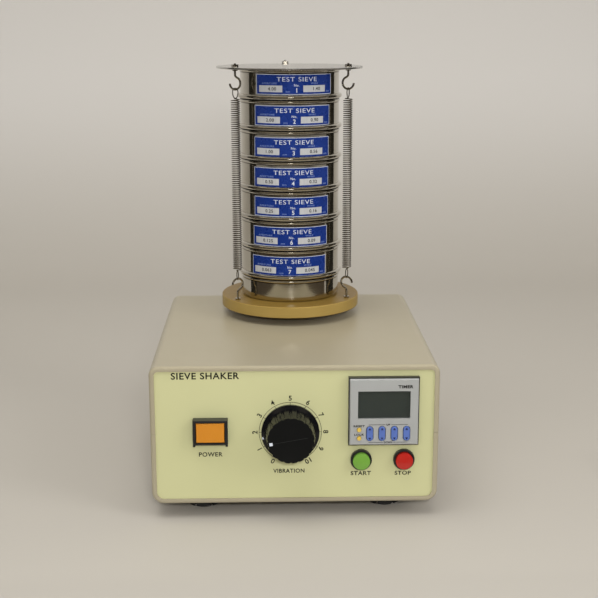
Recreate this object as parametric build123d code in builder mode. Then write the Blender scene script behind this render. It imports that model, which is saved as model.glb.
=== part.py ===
from build123d import *
import os
from math import acos, cos, degrees, radians, sin

# A bench-top sieve shaker: a sheet-metal case with an electromagnetic drive inside, a round
# vibrating table above it, and on the table a stack of small test sieves held down by springs.
# Lengths are in millimetres. +Z is up, the user stands at -Y, and the origin is under the
# middle of the whole object, at the level of the surface it stands on.

# Case
case_width = 197.0
case_depth = 213.0
case_height = 98.5
sheet = 1.2
top_bend_radius = 6.5
bottom_bend_radius = 8.5
rim_edge_radius = 2.0
rim_inner_radius = 0.8
rim_width = 3.5
joint_height = 50.4
joint_gap = 0.3
strap_height = 20.0
strap_margin = 14.0
panel_thickness = 1.5
panel_clearance = 0.9
column_hole_clearance = 4.0
cut_margin = 1.0

# Feet and the small screws
foot_height = 11.0
foot_flange_radius = 15.0
foot_flange_height = 3.0
foot_radius = 12.4
foot_lobes = 6
foot_slot_width = 2.6
foot_slot_height = 6.0
foot_recess_radius = 4.5
foot_recess_depth = 4.5
foot_sole_edge = 1.0
foot_inset_side = 34.2
foot_inset_front = 32.0
foot_inset_back = 32.0
screw_radius = 1.45
screw_length = 10.0
screw_head_radius = 2.8
screw_head_height = 2.0
screw_crown_height = 0.8
screw_tap_clearance = 0.05
screw_hole_radius = 1.7
side_screw_rise = 5.0
side_screw_inset = 32.0

# Front panel layout: the knob from the middle of the case, the power switch from its left side,
# the timer and the buttons from its right side, and all of them down from its top
knob_x = -3.1
knob_drop = 47.3
power_inset = 41.1
power_drop = 45.3
timer_inset = 38.2
timer_drop = 31.9
start_inset = 53.1
stop_inset = 23.7
button_drop = 67.4

# Knob and potentiometer
knob_height = 17.5
knob_gap = 0.5
knob_skirt_radius = 19.8
knob_skirt_edge = 1.8
knob_base_radius = 17.5
knob_base_height = 3.6
knob_face_radius = 15.9
knob_flutes = 20
knob_flute_radius = 1.6
knob_flute_depth = 0.45
knob_pocket_radius = 9.0
knob_pocket_depth = 5.5
knob_bore_depth = 14.0
shaft_radius = 3.0
shaft_fit = 0.05
shaft_end_gap = 0.5
potentiometer_radius = 12.0
potentiometer_depth = 11.0
terminal_pitch = 5.0
bushing_radius = 4.5
bushing_height = 4.6
bushing_clearance = 0.2
potentiometer_nut_flats = 13.0
potentiometer_nut_height = 2.2
shaft_reach_in = 8.0

# Power switch
power_frame_side = 1.9
power_frame_bar = 1.5
power_frame_reach = 7.0
power_frame_edge = 0.6
power_cheek_width = 1.6
power_cheek_drop = 1.1
power_button_width = 19.2
power_button_height = 13.8
power_button_thickness = 4.0
power_button_recess = 0.3
power_button_gap = 0.3
power_travel = 2.5
power_body_side = 0.4
power_body_bar = 0.1
power_body_depth = 24.0
power_cutout_clearance = 0.2
power_stem_radius = 3.0
power_stem_length = 7.0
stem_fit = 0.1
blade_width = 4.0
blade_thickness = 0.8
blade_length = 8.0

# Push buttons
bezel_wall = 1.1
bezel_height = 3.2
bezel_floor = 0.8
bezel_edge = 0.6
button_radius = 5.85
button_reach = 6.2
button_gap = 0.3
button_side_gap = 0.35
button_dome = 0.7
button_travel = 1.5
button_barrel_step = 0.2
button_barrel_depth = 20.0
button_stem_radius = 2.5
button_stem_length = 9.0
barrel_nut_wall = 1.5
barrel_nut_height = 3.0
barrel_clearance = 0.15

# Timer
timer_size = 48.0
timer_base_reach = 4.0
timer_front_margin = 0.7
timer_front_thickness = 1.8
timer_front_edge = 0.7
timer_pocket_side = 3.0
timer_pocket_bar = 3.5
timer_pocket_depth = 2.6
timer_body_margin = 1.7
timer_body_depth = 58.0
timer_plug_radius = 16.5
timer_plug_depth = 8.0
timer_cutout_clearance = 0.2
timer_clamp_width = 4.05
timer_clamp_depth = 6.0
timer_clamp_gap = 0.15
timer_clamp_corner = 2.0
window_side = 6.4
window_above = 9.3
window_below = 19.7
window_recess = 0.4
window_thickness = 1.0
window_gap = 0.15
display_thickness = 1.4
display_margin = 1.2
rocker_left = 14.4
rocker_right = 8.55
rocker_rise = 8.9
rocker_width = 4.4
rocker_height = 10.1
rocker_proud = 0.8
rocker_depth = 3.6
rocker_gap = 0.35
rocker_edge_radius = 0.5
small_key_left = 7.2
small_key_rises = (11.7, 5.7)
small_key_radius = 1.4
small_key_proud = 0.9
small_key_depth = 3.0
small_key_gap = 0.25

# Mains inlet and fuse holder on the rear panel
inlet_inset = 32.5
inlet_drop = 48.0
inlet_flange_width = 48.0
inlet_flange_height = 22.5
inlet_flange_thickness = 2.6
inlet_corner = 2.0
inlet_screw_spacing = 40.0
inlet_body_width = 27.4
inlet_body_height = 19.8
inlet_body_depth = 18.0
inlet_cavity_width = 24.4
inlet_cavity_height = 16.6
inlet_cavity_depth = 15.5
inlet_cavity_chamfer = 4.0
inlet_clearance = 0.3
pin_spacing = 14.0
pin_offset = 2.0
pin_width = 2.0
pin_height = 4.0
pin_length = 12.0
fuse_inset = 32.5
fuse_drop = 48.0
fuse_flange_radius = 8.0
fuse_flange_thickness = 2.0
fuse_cap_radius = 6.2
fuse_cap_height = 8.0
fuse_slot_width = 1.6
fuse_slot_depth = 1.8
fuse_barrel_radius = 6.0
fuse_barrel_depth = 30.0
vent_slots = 7
vent_width = 3.0
vent_height = 30.0
vent_pitch = 7.5
floor_vent_left_inset = 49.1
floor_vent_left_from_back = 89.0
floor_vent_right_inset = 42.2
floor_vent_right_from_back = 133.0

# Vibrating table and the sieves on it
stack_from_back = 54.3
table_gap = 6.3
table_margin = 5.1
table_thickness = 8.8
table_edge = 0.8
table_screw_circle = 9.0
table_screw_radius = 1.95
table_screw_head_radius = 3.8
table_screw_length = 18.0
column_radius = 14.0
column_flange_radius = 22.0
column_flange_height = 5.0
column_root_radius = 4.0
sieve_count = 7
sieve_pitch = 22.7
sieve_bore_radius = 37.5
sieve_wall = 0.65
sieve_rim_reach = 0.75
sieve_rim_height = 2.3
bead_reach = 2.25
bead_low = 0.6
bead_height = 3.4
mesh_height = 2.3
mesh_thickness = 0.3
mesh_groove_depth = 0.5
mesh_gap = 0.05
skirt_depth = 5.0
skirt_clearance = 0.35
skirt_wall = 0.6
pan_height = 17.0
pan_floor = 0.8
pan_corner_radius = 2.0

# Hold-down plate, hooks and springs
clamp_margin = 7.1
clamp_thickness = 1.5
clamp_edge = 0.4
spring_standoff = 4.95
hook_angles = (213.0, 333.0, 93.0)
hook_wire = 1.6
hook_radius = 4.5
hook_bend_radius = 2.5
upper_hook_drop = 10.4
lower_hook_rise = 12.2
hook_collar_radius = 2.0
hook_collar_height = 1.2
hook_nut_flats = 4.5
hook_nut_height = 2.0
hook_thread_proud = 0.8
hook_hole_clearance = 0.05
hook_seat_depth = 6.0
spring_wire = 0.8
spring_radius = 3.65
spring_loop_half_width = 2.3
spring_loop_half_height = 3.9
spring_hook_gap = 0.3
spring_end_width = 1.3

# Drive inside the case
drive_plate = 84.0
drive_plate_thickness = 8.0
drive_plate_corner = 6.0
drive_leg_radius = 8.0
drive_leg_height = 8.0
drive_spring_radius = 9.0
drive_spring_waist = 7.0
drive_spring_inset = 13.0
core_leg = 14.0
core_side_leg = 7.0
core_slot_width = 8.0
core_slot_depth = 24.0
core_depth = 40.0
core_height = 34.0
coil_height = 21.0
coil_thickness = 7.0
coil_clearance = 0.4
magnet_gap = 2.4
armature_thickness = 8.0
carrier_thickness = 6.0

# Control board
board_side_margin = 15.5
board_gap = 12.2
board_width = 74.0
board_depth = 60.0
board_thickness = 1.6
board_height = 8.0
board_post_radius = 3.0
board_post_inset = 5.0
heat_sink_fins = 5
heat_sink_width = 30.0
heat_sink_depth = 14.0
heat_sink_thickness = 2.0
heat_sink_height = 26.0
capacitor_radius = 8.0
capacitor_height = 22.0
terminal_block_width = 40.0
terminal_block_depth = 10.0
terminal_block_height = 12.0

# Levels and depths that follow from the sizes above
case_bottom_z = foot_height
case_top_z = case_bottom_z + case_height
case_middle_z = case_bottom_z + case_height / 2
joint_z = case_bottom_z + joint_height
floor_z = case_bottom_z + sheet
sieve_outer_radius = sieve_bore_radius + sieve_wall
sieve_rim_radius = sieve_outer_radius + sieve_rim_reach
bead_radius = sieve_outer_radius + bead_reach
hook_circle_radius = bead_radius + spring_standoff + spring_radius
table_radius = hook_circle_radius + table_margin
clamp_radius = hook_circle_radius + clamp_margin
knob_reach = knob_gap + knob_height - sheet
rear_reach = max(fuse_flange_thickness + fuse_cap_height - sheet, clamp_radius - stack_from_back)
total_depth = knob_reach + case_depth + rear_reach
case_front_y = knob_reach - total_depth / 2
case_back_y = case_front_y + case_depth
panel_face_y = case_front_y + sheet
panel_back_y = panel_face_y + panel_thickness
rear_face_y = case_back_y - sheet
stack_y = case_back_y - stack_from_back
table_bottom_z = case_top_z + table_gap
table_top_z = table_bottom_z + table_thickness
first_contact_z = table_top_z + pan_height
stack_top_z = first_contact_z + sieve_count * sieve_pitch
clamp_top_z = stack_top_z + clamp_thickness
upper_hook_z = stack_top_z - upper_hook_drop
lower_hook_z = table_top_z + lower_hook_rise
drive_base_z = floor_z + drive_leg_height
core_z = drive_base_z + drive_plate_thickness
armature_z = core_z + core_height + magnet_gap
carrier_z = armature_z + armature_thickness
timer_z = case_top_z - timer_drop
timer_front_reach = timer_base_reach + timer_front_thickness
stack_axis = Axis((0, stack_y, 0), (0, 0, 1))

# Places and outlines on the two panels that follow from the sizes above
power_x = power_inset - case_width / 2
timer_x = case_width / 2 - timer_inset
start_x = case_width / 2 - start_inset
stop_x = case_width / 2 - stop_inset
inlet_x = inlet_inset - case_width / 2
fuse_x = case_width / 2 - fuse_inset
power_pocket_width = power_button_width + 2 * power_button_gap
power_pocket_height = power_button_height + 2 * power_button_gap
power_frame_width = power_pocket_width + 2 * power_frame_side
power_frame_height = power_pocket_height + 2 * power_frame_bar
power_body_width = power_pocket_width + 2 * power_body_side
power_body_height = power_pocket_height + 2 * power_body_bar
bezel_pocket_radius = button_radius + button_side_gap
bezel_radius = bezel_pocket_radius + bezel_wall
button_barrel_radius = bezel_pocket_radius - button_barrel_step
timer_front_size = timer_size - 2 * timer_front_margin
timer_pocket_width = timer_size - 2 * timer_pocket_side
timer_pocket_height = timer_size - 2 * timer_pocket_bar
timer_body_size = timer_size - 2 * timer_body_margin
timer_cutout = timer_body_size + 2 * timer_cutout_clearance
timer_clamp_size = timer_body_size + 2 * (timer_clamp_gap + timer_clamp_width)
window_width = timer_size - 2 * window_side
window_height = timer_size - window_above - window_below
window_rise = (window_below - window_above) / 2
rocker_pitch = (timer_size - rocker_left - rocker_right) / 3
rocker_drop = timer_size / 2 - rocker_rise

pieces = {}


def keep(part, name):
    # Labels a finished piece and puts it on the list of pieces.
    part.label = name
    pieces[name] = part


def level(z, x=0.0, y=0.0):
    # A horizontal plane at a height.
    return Plane(origin=(x, y, z), x_dir=(1, 0, 0), z_dir=(0, 0, 1))


def facing(y, x=0.0, z=0.0):
    # A plane that faces the user: X to the right, Z up, and +depth towards the user.
    return Plane(origin=(x, y, z), x_dir=(1, 0, 0), z_dir=(0, -1, 0))


def control_section(x, z):
    # A plane for turned controls: radius along X, height outwards from the panel's face.
    return Plane(origin=(x, panel_face_y, z), x_dir=(1, 0, 0), z_dir=(0, 0, -1))


def control_axis(x, z):
    return Axis((x, panel_face_y, z), (0, -1, 0))


def stack_section(z):
    # A plane for what is turned about the stack's axis: radius along X, height above z.
    return Plane(origin=(0, stack_y, z), x_dir=(1, 0, 0), z_dir=(0, -1, 0))


def hook_plane(angle):
    # A vertical plane through the stack's axis: local X points outwards from the hook circle.
    c, s = cos(radians(angle)), sin(radians(angle))
    place = (hook_circle_radius * c, stack_y + hook_circle_radius * s, 0)
    return Plane(origin=place, x_dir=(c, s, 0), z_dir=(s, -c, 0))


def case_outline(inset):
    # The case seen from the front, drawn a given distance inside its outer skin.
    with BuildSketch() as outline:
        Rectangle(case_width - 2 * inset, case_height - 2 * inset)
        fillet(outline.vertices().group_by(Axis.Y)[-1], top_bend_radius - inset)
        fillet(outline.vertices().group_by(Axis.Y)[0], bottom_bend_radius - inset)
    return outline.sketch


def case_block(inset, edge_radius):
    # A solid the size of the case less the inset, with its front and rear edges rounded.
    outline = case_outline(inset)
    with BuildPart() as block:
        with BuildSketch(facing(case_back_y - inset, 0, case_middle_z)):
            add(outline)
        extrude(amount=case_depth - 2 * inset)
        ends = block.faces().sort_by(Axis.Y)
        fillet(ends[0].edges() + ends[-1].edges(), edge_radius)
    return block.part


def case_skin():
    # The bent sheet of both covers together, with the openings inside the front and rear rims.
    outer = case_block(0, rim_edge_radius)
    inner = case_block(sheet, rim_inner_radius)
    window = case_outline(rim_width)
    with BuildPart() as skin:
        add(outer)
        add(inner, mode=Mode.SUBTRACT)
        with BuildSketch(facing(case_back_y, 0, case_middle_z)):
            add(window)
        extrude(amount=case_depth, mode=Mode.SUBTRACT)
    return skin.part


def side_screw_points():
    # Places of the side screws, as (y, z).
    z = joint_z + side_screw_rise
    return [(case_front_y + side_screw_inset, z), (case_back_y - side_screw_inset, z)]


def foot_points():
    front = case_front_y + foot_inset_front
    back = case_back_y - foot_inset_back
    half = case_width / 2 - foot_inset_side
    return [(-half, front), (half, front), (-half, back), (half, back)]


# Upper and lower covers

skin = case_skin()
table_hole_radius = column_radius + column_hole_clearance

with BuildPart() as upper_cover:
    add(skin)
    split(bisect_by=Plane.XY.offset(joint_z + joint_gap / 2), keep=Keep.TOP)
    with BuildSketch(level(case_top_z + cut_margin, 0, stack_y)):
        Circle(table_hole_radius)
    extrude(amount=-(sheet + 2 * cut_margin), mode=Mode.SUBTRACT)
    for y, z in side_screw_points():
        with BuildSketch(Plane(origin=(0, y, z), x_dir=(0, 1, 0), z_dir=(1, 0, 0))):
            Circle(screw_hole_radius)
        extrude(amount=case_width, both=True, mode=Mode.SUBTRACT)
keep(upper_cover.part, "upper_cover")

strap_x = case_width / 2 - sheet - sheet / 2
strap_length = case_depth - 2 * strap_margin
floor_vents = [
    (floor_vent_left_inset - case_width / 2, case_back_y - floor_vent_left_from_back),
    (case_width / 2 - floor_vent_right_inset, case_back_y - floor_vent_right_from_back),
]
board_x = board_side_margin + board_width / 2 - case_width / 2
board_y = stack_y - drive_plate / 2 - board_gap - board_depth / 2
board_corners = [
    (board_x + sx * (board_width / 2 - board_post_inset),
     board_y + sy * (board_depth / 2 - board_post_inset))
    for sx in (-1, 1) for sy in (-1, 1)
]

with BuildPart() as lower_cover:
    add(skin)
    split(bisect_by=Plane.XY.offset(joint_z - joint_gap / 2), keep=Keep.BOTTOM)
    with BuildSketch(level(joint_z - strap_height / 2, 0, (case_front_y + case_back_y) / 2)):
        with Locations((-strap_x, 0), (strap_x, 0)):
            Rectangle(sheet, strap_length)
    extrude(amount=strap_height)
    for y, z in side_screw_points():
        with BuildSketch(Plane(origin=(0, y, z), x_dir=(0, 1, 0), z_dir=(1, 0, 0))):
            Circle(screw_radius + screw_tap_clearance)
        extrude(amount=case_width, both=True, mode=Mode.SUBTRACT)
    with BuildSketch(level(floor_z)):
        with Locations(*board_corners):
            Circle(board_post_radius)
    extrude(amount=board_height)
    with BuildSketch(level(case_bottom_z - cut_margin)):
        with Locations(*foot_points()):
            Circle(screw_radius + screw_tap_clearance)
        with Locations(*floor_vents):
            with GridLocations(vent_pitch, 0, vent_slots, 1):
                SlotOverall(vent_height, vent_width, rotation=90)
    extrude(amount=sheet + 2 * cut_margin, mode=Mode.SUBTRACT)
keep(lower_cover.part, "lower_cover")


# Front and rear panels

def panel_plate(face_y, outwards):
    # A flat panel behind the case's rim: its outer face lies at face_y.
    outline = case_outline(sheet + panel_clearance)
    with BuildPart() as plate:
        with BuildSketch(facing(face_y, 0, case_middle_z)):
            add(outline)
        extrude(amount=outwards * panel_thickness)
    return plate.part


front_blank = panel_plate(panel_face_y, -1)
with BuildPart() as front_panel:
    add(front_blank)
    with BuildSketch(facing(panel_back_y + cut_margin, 0, case_top_z)):
        with Locations((knob_x, -knob_drop)):
            Circle(bushing_radius + bushing_clearance)
        with Locations((power_x, -power_drop)):
            Rectangle(
                power_body_width + 2 * power_cutout_clearance,
                power_body_height + 2 * power_cutout_clearance,
            )
        with Locations((timer_x, -timer_drop)):
            Rectangle(timer_cutout, timer_cutout)
        with Locations((start_x, -button_drop), (stop_x, -button_drop)):
            Circle(button_barrel_radius + barrel_clearance)
    extrude(amount=panel_thickness + 2 * cut_margin, mode=Mode.SUBTRACT)
keep(front_panel.part, "front_panel")

rear_blank = panel_plate(rear_face_y, 1)
with BuildPart() as rear_panel:
    add(rear_blank)
    with BuildSketch(facing(rear_face_y + cut_margin, 0, case_top_z)):
        with Locations((inlet_x, -inlet_drop)):
            Rectangle(inlet_body_width + 2 * inlet_clearance, inlet_body_height + 2 * inlet_clearance)
            with GridLocations(inlet_screw_spacing, 0, 2, 1):
                Circle(screw_radius + screw_tap_clearance)
        with Locations((fuse_x, -fuse_drop)):
            Circle(fuse_barrel_radius + barrel_clearance)
        with Locations((0, -fuse_drop)):
            with GridLocations(vent_pitch, 0, vent_slots, 1):
                SlotOverall(vent_height, vent_width, rotation=90)
    extrude(amount=panel_thickness + 2 * cut_margin, mode=Mode.SUBTRACT)
keep(rear_panel.part, "rear_panel")


# Screws that hold the covers, the feet and the mains inlet

def screw_at(plane):
    # A pan-head screw whose head stands on the plane and whose shank goes below it.
    with BuildPart() as screw:
        with BuildSketch(plane):
            Circle(screw_head_radius)
        extrude(amount=screw_head_height)
        crown = screw.faces().sort_by(Axis(plane.origin, plane.z_dir))[-1]
        chamfer(crown.edges(), screw_crown_height)
        with BuildSketch(plane):
            Circle(screw_radius)
        extrude(amount=-screw_length)
    return screw.part


def case_screw_planes():
    planes = []
    for y, z in side_screw_points():
        for side in (-1, 1):
            place = (side * case_width / 2, y, z)
            planes.append(Plane(origin=place, x_dir=(0, 1, 0), z_dir=(side, 0, 0)))
    for x, y in foot_points():
        planes.append(Plane(origin=(x, y, foot_recess_depth), x_dir=(1, 0, 0), z_dir=(0, 0, -1)))
    for side in (-1, 1):
        place = (
            inlet_x + side * inlet_screw_spacing / 2,
            rear_face_y + inlet_flange_thickness,
            case_top_z - inlet_drop,
        )
        planes.append(Plane(origin=place, x_dir=(1, 0, 0), z_dir=(0, 1, 0)))
    return planes


keep(Compound(children=[screw_at(plane) for plane in case_screw_planes()]), "case_screws")


# Rubber feet, with a lobed underside

def rubber_foot(x, y):
    with BuildPart() as foot:
        with BuildSketch(level(0, x, y)):
            Circle(foot_radius)
        extrude(amount=foot_height - foot_flange_height)
        with BuildSketch(level(foot_height - foot_flange_height, x, y)):
            Circle(foot_flange_radius)
        extrude(amount=foot_flange_height)
        with BuildSketch(level(0, x, y)):
            with PolarLocations(foot_radius, foot_lobes):
                Rectangle(2 * (foot_radius - foot_recess_radius), foot_slot_width)
        extrude(amount=foot_slot_height, mode=Mode.SUBTRACT)
        with BuildSketch(level(0, x, y)):
            Circle(foot_recess_radius)
        extrude(amount=foot_recess_depth, mode=Mode.SUBTRACT)
        with BuildSketch(level(0, x, y)):
            Circle(screw_hole_radius)
        extrude(amount=foot_height, mode=Mode.SUBTRACT)
        soles = foot.faces().filter_by(Axis.Z).group_by(Axis.Z)[0]
        chamfer(soles.edges().filter_by(GeomType.CIRCLE).group_by(SortBy.RADIUS)[-1], foot_sole_edge)
    return foot.part


keep(Compound(children=[rubber_foot(x, y) for x, y in foot_points()]), "rubber_feet")


# Power switch

power_z = case_top_z - power_drop
power_button_front = power_frame_reach - power_button_recess
power_button_back = power_button_front - power_button_thickness
power_pocket_floor = power_button_back - power_travel - power_button_gap
power_stem_bore_depth = power_stem_length + power_travel

with BuildPart() as power_switch_housing:
    with BuildSketch(facing(panel_face_y, power_x, power_z)):
        Rectangle(power_frame_width, power_frame_height)
    extrude(amount=power_frame_reach)
    frame_front = power_switch_housing.faces().sort_by(Axis.Y)[0]
    chamfer(frame_front.edges(), power_frame_edge)
    cheek_x = (power_frame_width - power_cheek_width) / 2
    with BuildSketch(facing(panel_face_y, power_x, power_z - power_cheek_drop)):
        with Locations((-cheek_x, 0), (cheek_x, 0)):
            Rectangle(power_cheek_width, power_frame_height)
    extrude(amount=power_frame_reach - power_frame_edge)
    with BuildSketch(facing(panel_face_y, power_x, power_z)):
        Rectangle(power_body_width, power_body_height)
    extrude(amount=-power_body_depth)
    with BuildSketch(facing(panel_face_y - power_pocket_floor, power_x, power_z)):
        Rectangle(power_pocket_width, power_pocket_height)
    extrude(amount=power_frame_reach - power_pocket_floor + cut_margin, mode=Mode.SUBTRACT)
    with BuildSketch(facing(panel_face_y - power_pocket_floor, power_x, power_z)):
        Circle(power_stem_radius + stem_fit)
    extrude(amount=-power_stem_bore_depth, mode=Mode.SUBTRACT)
    with BuildSketch(facing(panel_face_y + power_body_depth, power_x, power_z)):
        with GridLocations(power_body_width / 2, power_body_height / 2, 2, 2):
            Rectangle(blade_thickness, blade_width)
    extrude(amount=-blade_length)
keep(power_switch_housing.part, "power_switch_housing")

with BuildPart() as power_switch_button:
    with BuildSketch(facing(panel_face_y - power_button_back, power_x, power_z)):
        Rectangle(power_button_width, power_button_height)
    extrude(amount=power_button_thickness)
    fillet(power_switch_button.faces().sort_by(Axis.Y)[0].edges(), power_frame_edge)
    with BuildSketch(facing(panel_face_y - power_button_back, power_x, power_z)):
        Circle(power_stem_radius)
    extrude(amount=-power_stem_length)
keep(power_switch_button.part, "power_switch_button")


# Knob, its shaft and the potentiometer behind the panel

knob_z = case_top_z - knob_drop
knob_top = knob_gap + knob_height

def fluted_circle(radius):
    Circle(radius)
    with PolarLocations(radius + knob_flute_radius - knob_flute_depth, knob_flutes):
        Circle(knob_flute_radius, mode=Mode.SUBTRACT)


with BuildPart() as knob:
    with BuildSketch(facing(panel_face_y - knob_gap - knob_base_height, knob_x, knob_z)):
        fluted_circle(knob_base_radius)
    with BuildSketch(facing(panel_face_y - knob_top, knob_x, knob_z)):
        fluted_circle(knob_face_radius)
    loft(ruled=True)
    with BuildSketch(control_section(knob_x, knob_z)):
        with BuildLine():
            Polyline(
                (0, knob_gap),
                (knob_skirt_radius, knob_gap),
                (knob_skirt_radius, knob_gap + knob_skirt_edge),
                (knob_base_radius, knob_gap + knob_base_height),
                (0, knob_gap + knob_base_height),
                close=True,
            )
        make_face()
    revolve(axis=control_axis(knob_x, knob_z))
    with BuildSketch(facing(panel_face_y, knob_x, knob_z)):
        Circle(knob_pocket_radius)
    extrude(amount=knob_pocket_depth, mode=Mode.SUBTRACT)
    with BuildSketch(facing(panel_face_y, knob_x, knob_z)):
        Circle(shaft_radius + shaft_fit)
    extrude(amount=knob_bore_depth, mode=Mode.SUBTRACT)
keep(knob.part, "knob")

with BuildPart() as potentiometer_shaft:
    with BuildSketch(facing(panel_back_y + shaft_reach_in, knob_x, knob_z)):
        Circle(shaft_radius)
    extrude(amount=shaft_reach_in + panel_thickness + knob_bore_depth - shaft_end_gap)
keep(potentiometer_shaft.part, "potentiometer_shaft")

with BuildPart() as potentiometer_body:
    with BuildSketch(facing(panel_back_y, knob_x, knob_z)):
        Circle(potentiometer_radius)
    extrude(amount=-potentiometer_depth)
    with BuildSketch(facing(panel_back_y, knob_x, knob_z)):
        Circle(bushing_radius)
    extrude(amount=panel_thickness + bushing_height)
    with BuildSketch(facing(panel_back_y + shaft_reach_in + shaft_end_gap, knob_x, knob_z)):
        Circle(shaft_radius + shaft_fit)
    extrude(amount=case_depth / 2, mode=Mode.SUBTRACT)
    terminal_y = panel_back_y + potentiometer_depth / 2
    with BuildSketch(level(knob_z - potentiometer_radius + cut_margin, knob_x, terminal_y)):
        with GridLocations(terminal_pitch, 0, 3, 1):
            Rectangle(blade_width / 2, blade_thickness)
    extrude(amount=-blade_length)
keep(potentiometer_body.part, "potentiometer_body")

with BuildPart() as potentiometer_nut:
    with BuildSketch(facing(panel_face_y, knob_x, knob_z)):
        RegularPolygon(potentiometer_nut_flats / 2, 6, major_radius=False)
        Circle(bushing_radius + barrel_clearance, mode=Mode.SUBTRACT)
    extrude(amount=potentiometer_nut_height)
keep(potentiometer_nut.part, "potentiometer_nut")


# Start and stop buttons

button_z = case_top_z - button_drop
button_back = bezel_floor + button_gap + button_travel
button_stem_bore = button_stem_length + button_travel


def button_housing(x):
    # A ringed housing that is clamped in the panel, with a pocket for the cap and a bore for
    # its stem.
    with BuildPart() as housing:
        with BuildSketch(control_section(x, button_z)):
            with BuildLine():
                Polyline(
                    (button_stem_radius + stem_fit, bezel_floor),
                    (bezel_pocket_radius, bezel_floor),
                    (bezel_pocket_radius, bezel_height),
                    (bezel_radius - bezel_edge, bezel_height),
                    (bezel_radius, bezel_height - bezel_edge),
                    (bezel_radius, 0),
                    (button_barrel_radius, 0),
                    (button_barrel_radius, -button_barrel_depth),
                    (0, -button_barrel_depth),
                    (0, button_back - button_stem_bore),
                    (button_stem_radius + stem_fit, button_back - button_stem_bore),
                    close=True,
                )
            make_face()
        revolve(axis=control_axis(x, button_z))
        with BuildSketch(facing(panel_face_y + button_barrel_depth, x, button_z)):
            with GridLocations(button_barrel_radius, 0, 2, 1):
                Rectangle(blade_thickness, blade_width)
        extrude(amount=-blade_length)
    return housing.part


def button_cap(x):
    # A domed cap on a stem.
    with BuildPart() as cap:
        with BuildSketch(control_section(x, button_z)):
            with BuildLine():
                Polyline(
                    (0, button_reach),
                    (0, button_back - button_stem_length),
                    (button_stem_radius, button_back - button_stem_length),
                    (button_stem_radius, button_back),
                    (button_radius, button_back),
                    (button_radius, button_reach - button_dome),
                )
                TangentArc((0, button_reach), (button_radius, button_reach - button_dome), tangent=(1, 0))
            make_face()
        revolve(axis=control_axis(x, button_z))
    return cap.part


keep(button_housing(start_x), "start_button_housing")
keep(button_cap(start_x), "start_button_cap")
keep(button_housing(stop_x), "stop_button_housing")
keep(button_cap(stop_x), "stop_button_cap")


def barrel_nut(plane, barrel_radius):
    # A hexagon nut on a threaded barrel, standing on the plane.
    with BuildPart() as nut:
        with BuildSketch(plane):
            RegularPolygon(barrel_radius + barrel_nut_wall, 6, major_radius=False)
            Circle(barrel_radius + barrel_clearance, mode=Mode.SUBTRACT)
        extrude(amount=barrel_nut_height)
    return nut.part


def inward(x, drop, y):
    # A plane behind a panel, where +depth goes into the case.
    side = 1 if y < stack_y else -1
    return Plane(origin=(x, y, case_top_z - drop), x_dir=(1, 0, 0), z_dir=(0, side, 0))


panel_nuts = [
    barrel_nut(inward(start_x, button_drop, panel_back_y), button_barrel_radius),
    barrel_nut(inward(stop_x, button_drop, panel_back_y), button_barrel_radius),
    barrel_nut(inward(fuse_x, fuse_drop, rear_face_y - panel_thickness), fuse_barrel_radius),
]
keep(Compound(children=panel_nuts), "panel_nuts")


# Timer

timer_face_y = panel_face_y - timer_front_reach
pocket_y = panel_face_y - timer_base_reach + timer_pocket_depth
window_z = timer_z + window_rise
rocker_z = timer_z - rocker_drop
timer_left_x = timer_x - timer_size / 2
timer_bottom_z = timer_z - timer_size / 2
rocker_xs = [timer_left_x + rocker_left + rocker_pitch * i for i in range(4)]
small_key_places = [(timer_left_x + small_key_left, timer_bottom_z + rise) for rise in small_key_rises]

with BuildPart() as timer_body:
    with BuildSketch(facing(panel_face_y, timer_x, timer_z)):
        Rectangle(timer_size, timer_size)
    extrude(amount=timer_base_reach)
    with BuildSketch(facing(panel_face_y, timer_x, timer_z)):
        Rectangle(timer_body_size, timer_body_size)
    extrude(amount=-timer_body_depth)
    with BuildSketch(facing(panel_face_y + timer_body_depth, timer_x, timer_z)):
        Circle(timer_plug_radius)
    extrude(amount=-timer_plug_depth)
    with BuildSketch(facing(pocket_y, timer_x, timer_z)):
        Rectangle(timer_pocket_width, timer_pocket_height)
    extrude(amount=timer_base_reach, mode=Mode.SUBTRACT)
keep(timer_body.part, "timer_body")

with BuildPart() as timer_front:
    with BuildSketch(facing(panel_face_y - timer_base_reach, timer_x, timer_z)):
        Rectangle(timer_front_size, timer_front_size)
    extrude(amount=timer_front_thickness)
    chamfer(timer_front.faces().sort_by(Axis.Y)[0].edges(), timer_front_edge)
    with BuildSketch(facing(panel_face_y, timer_x, timer_z)):
        with Locations((0, window_rise)):
            Rectangle(window_width + 2 * window_gap, window_height + 2 * window_gap)
        for x in rocker_xs:
            with Locations((x - timer_x, -rocker_drop)):
                SlotOverall(rocker_height + 2 * rocker_gap, rocker_width + 2 * rocker_gap, rotation=90)
        for x, z in small_key_places:
            with Locations((x - timer_x, z - timer_z)):
                Circle(small_key_radius + small_key_gap)
    extrude(amount=timer_front_reach + cut_margin, mode=Mode.SUBTRACT)
keep(timer_front.part, "timer_front")

with BuildPart() as timer_window:
    with BuildSketch(facing(timer_face_y + window_recess + window_thickness, timer_x, window_z)):
        Rectangle(window_width, window_height)
    extrude(amount=window_thickness)
keep(timer_window.part, "timer_window")

with BuildPart() as timer_display:
    display_face_y = timer_face_y + timer_front_thickness + window_gap
    with BuildSketch(facing(display_face_y + display_thickness, timer_x, window_z)):
        Rectangle(window_width + 2 * display_margin, window_height + 2 * display_margin)
    extrude(amount=display_thickness)
keep(timer_display.part, "timer_display")

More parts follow.
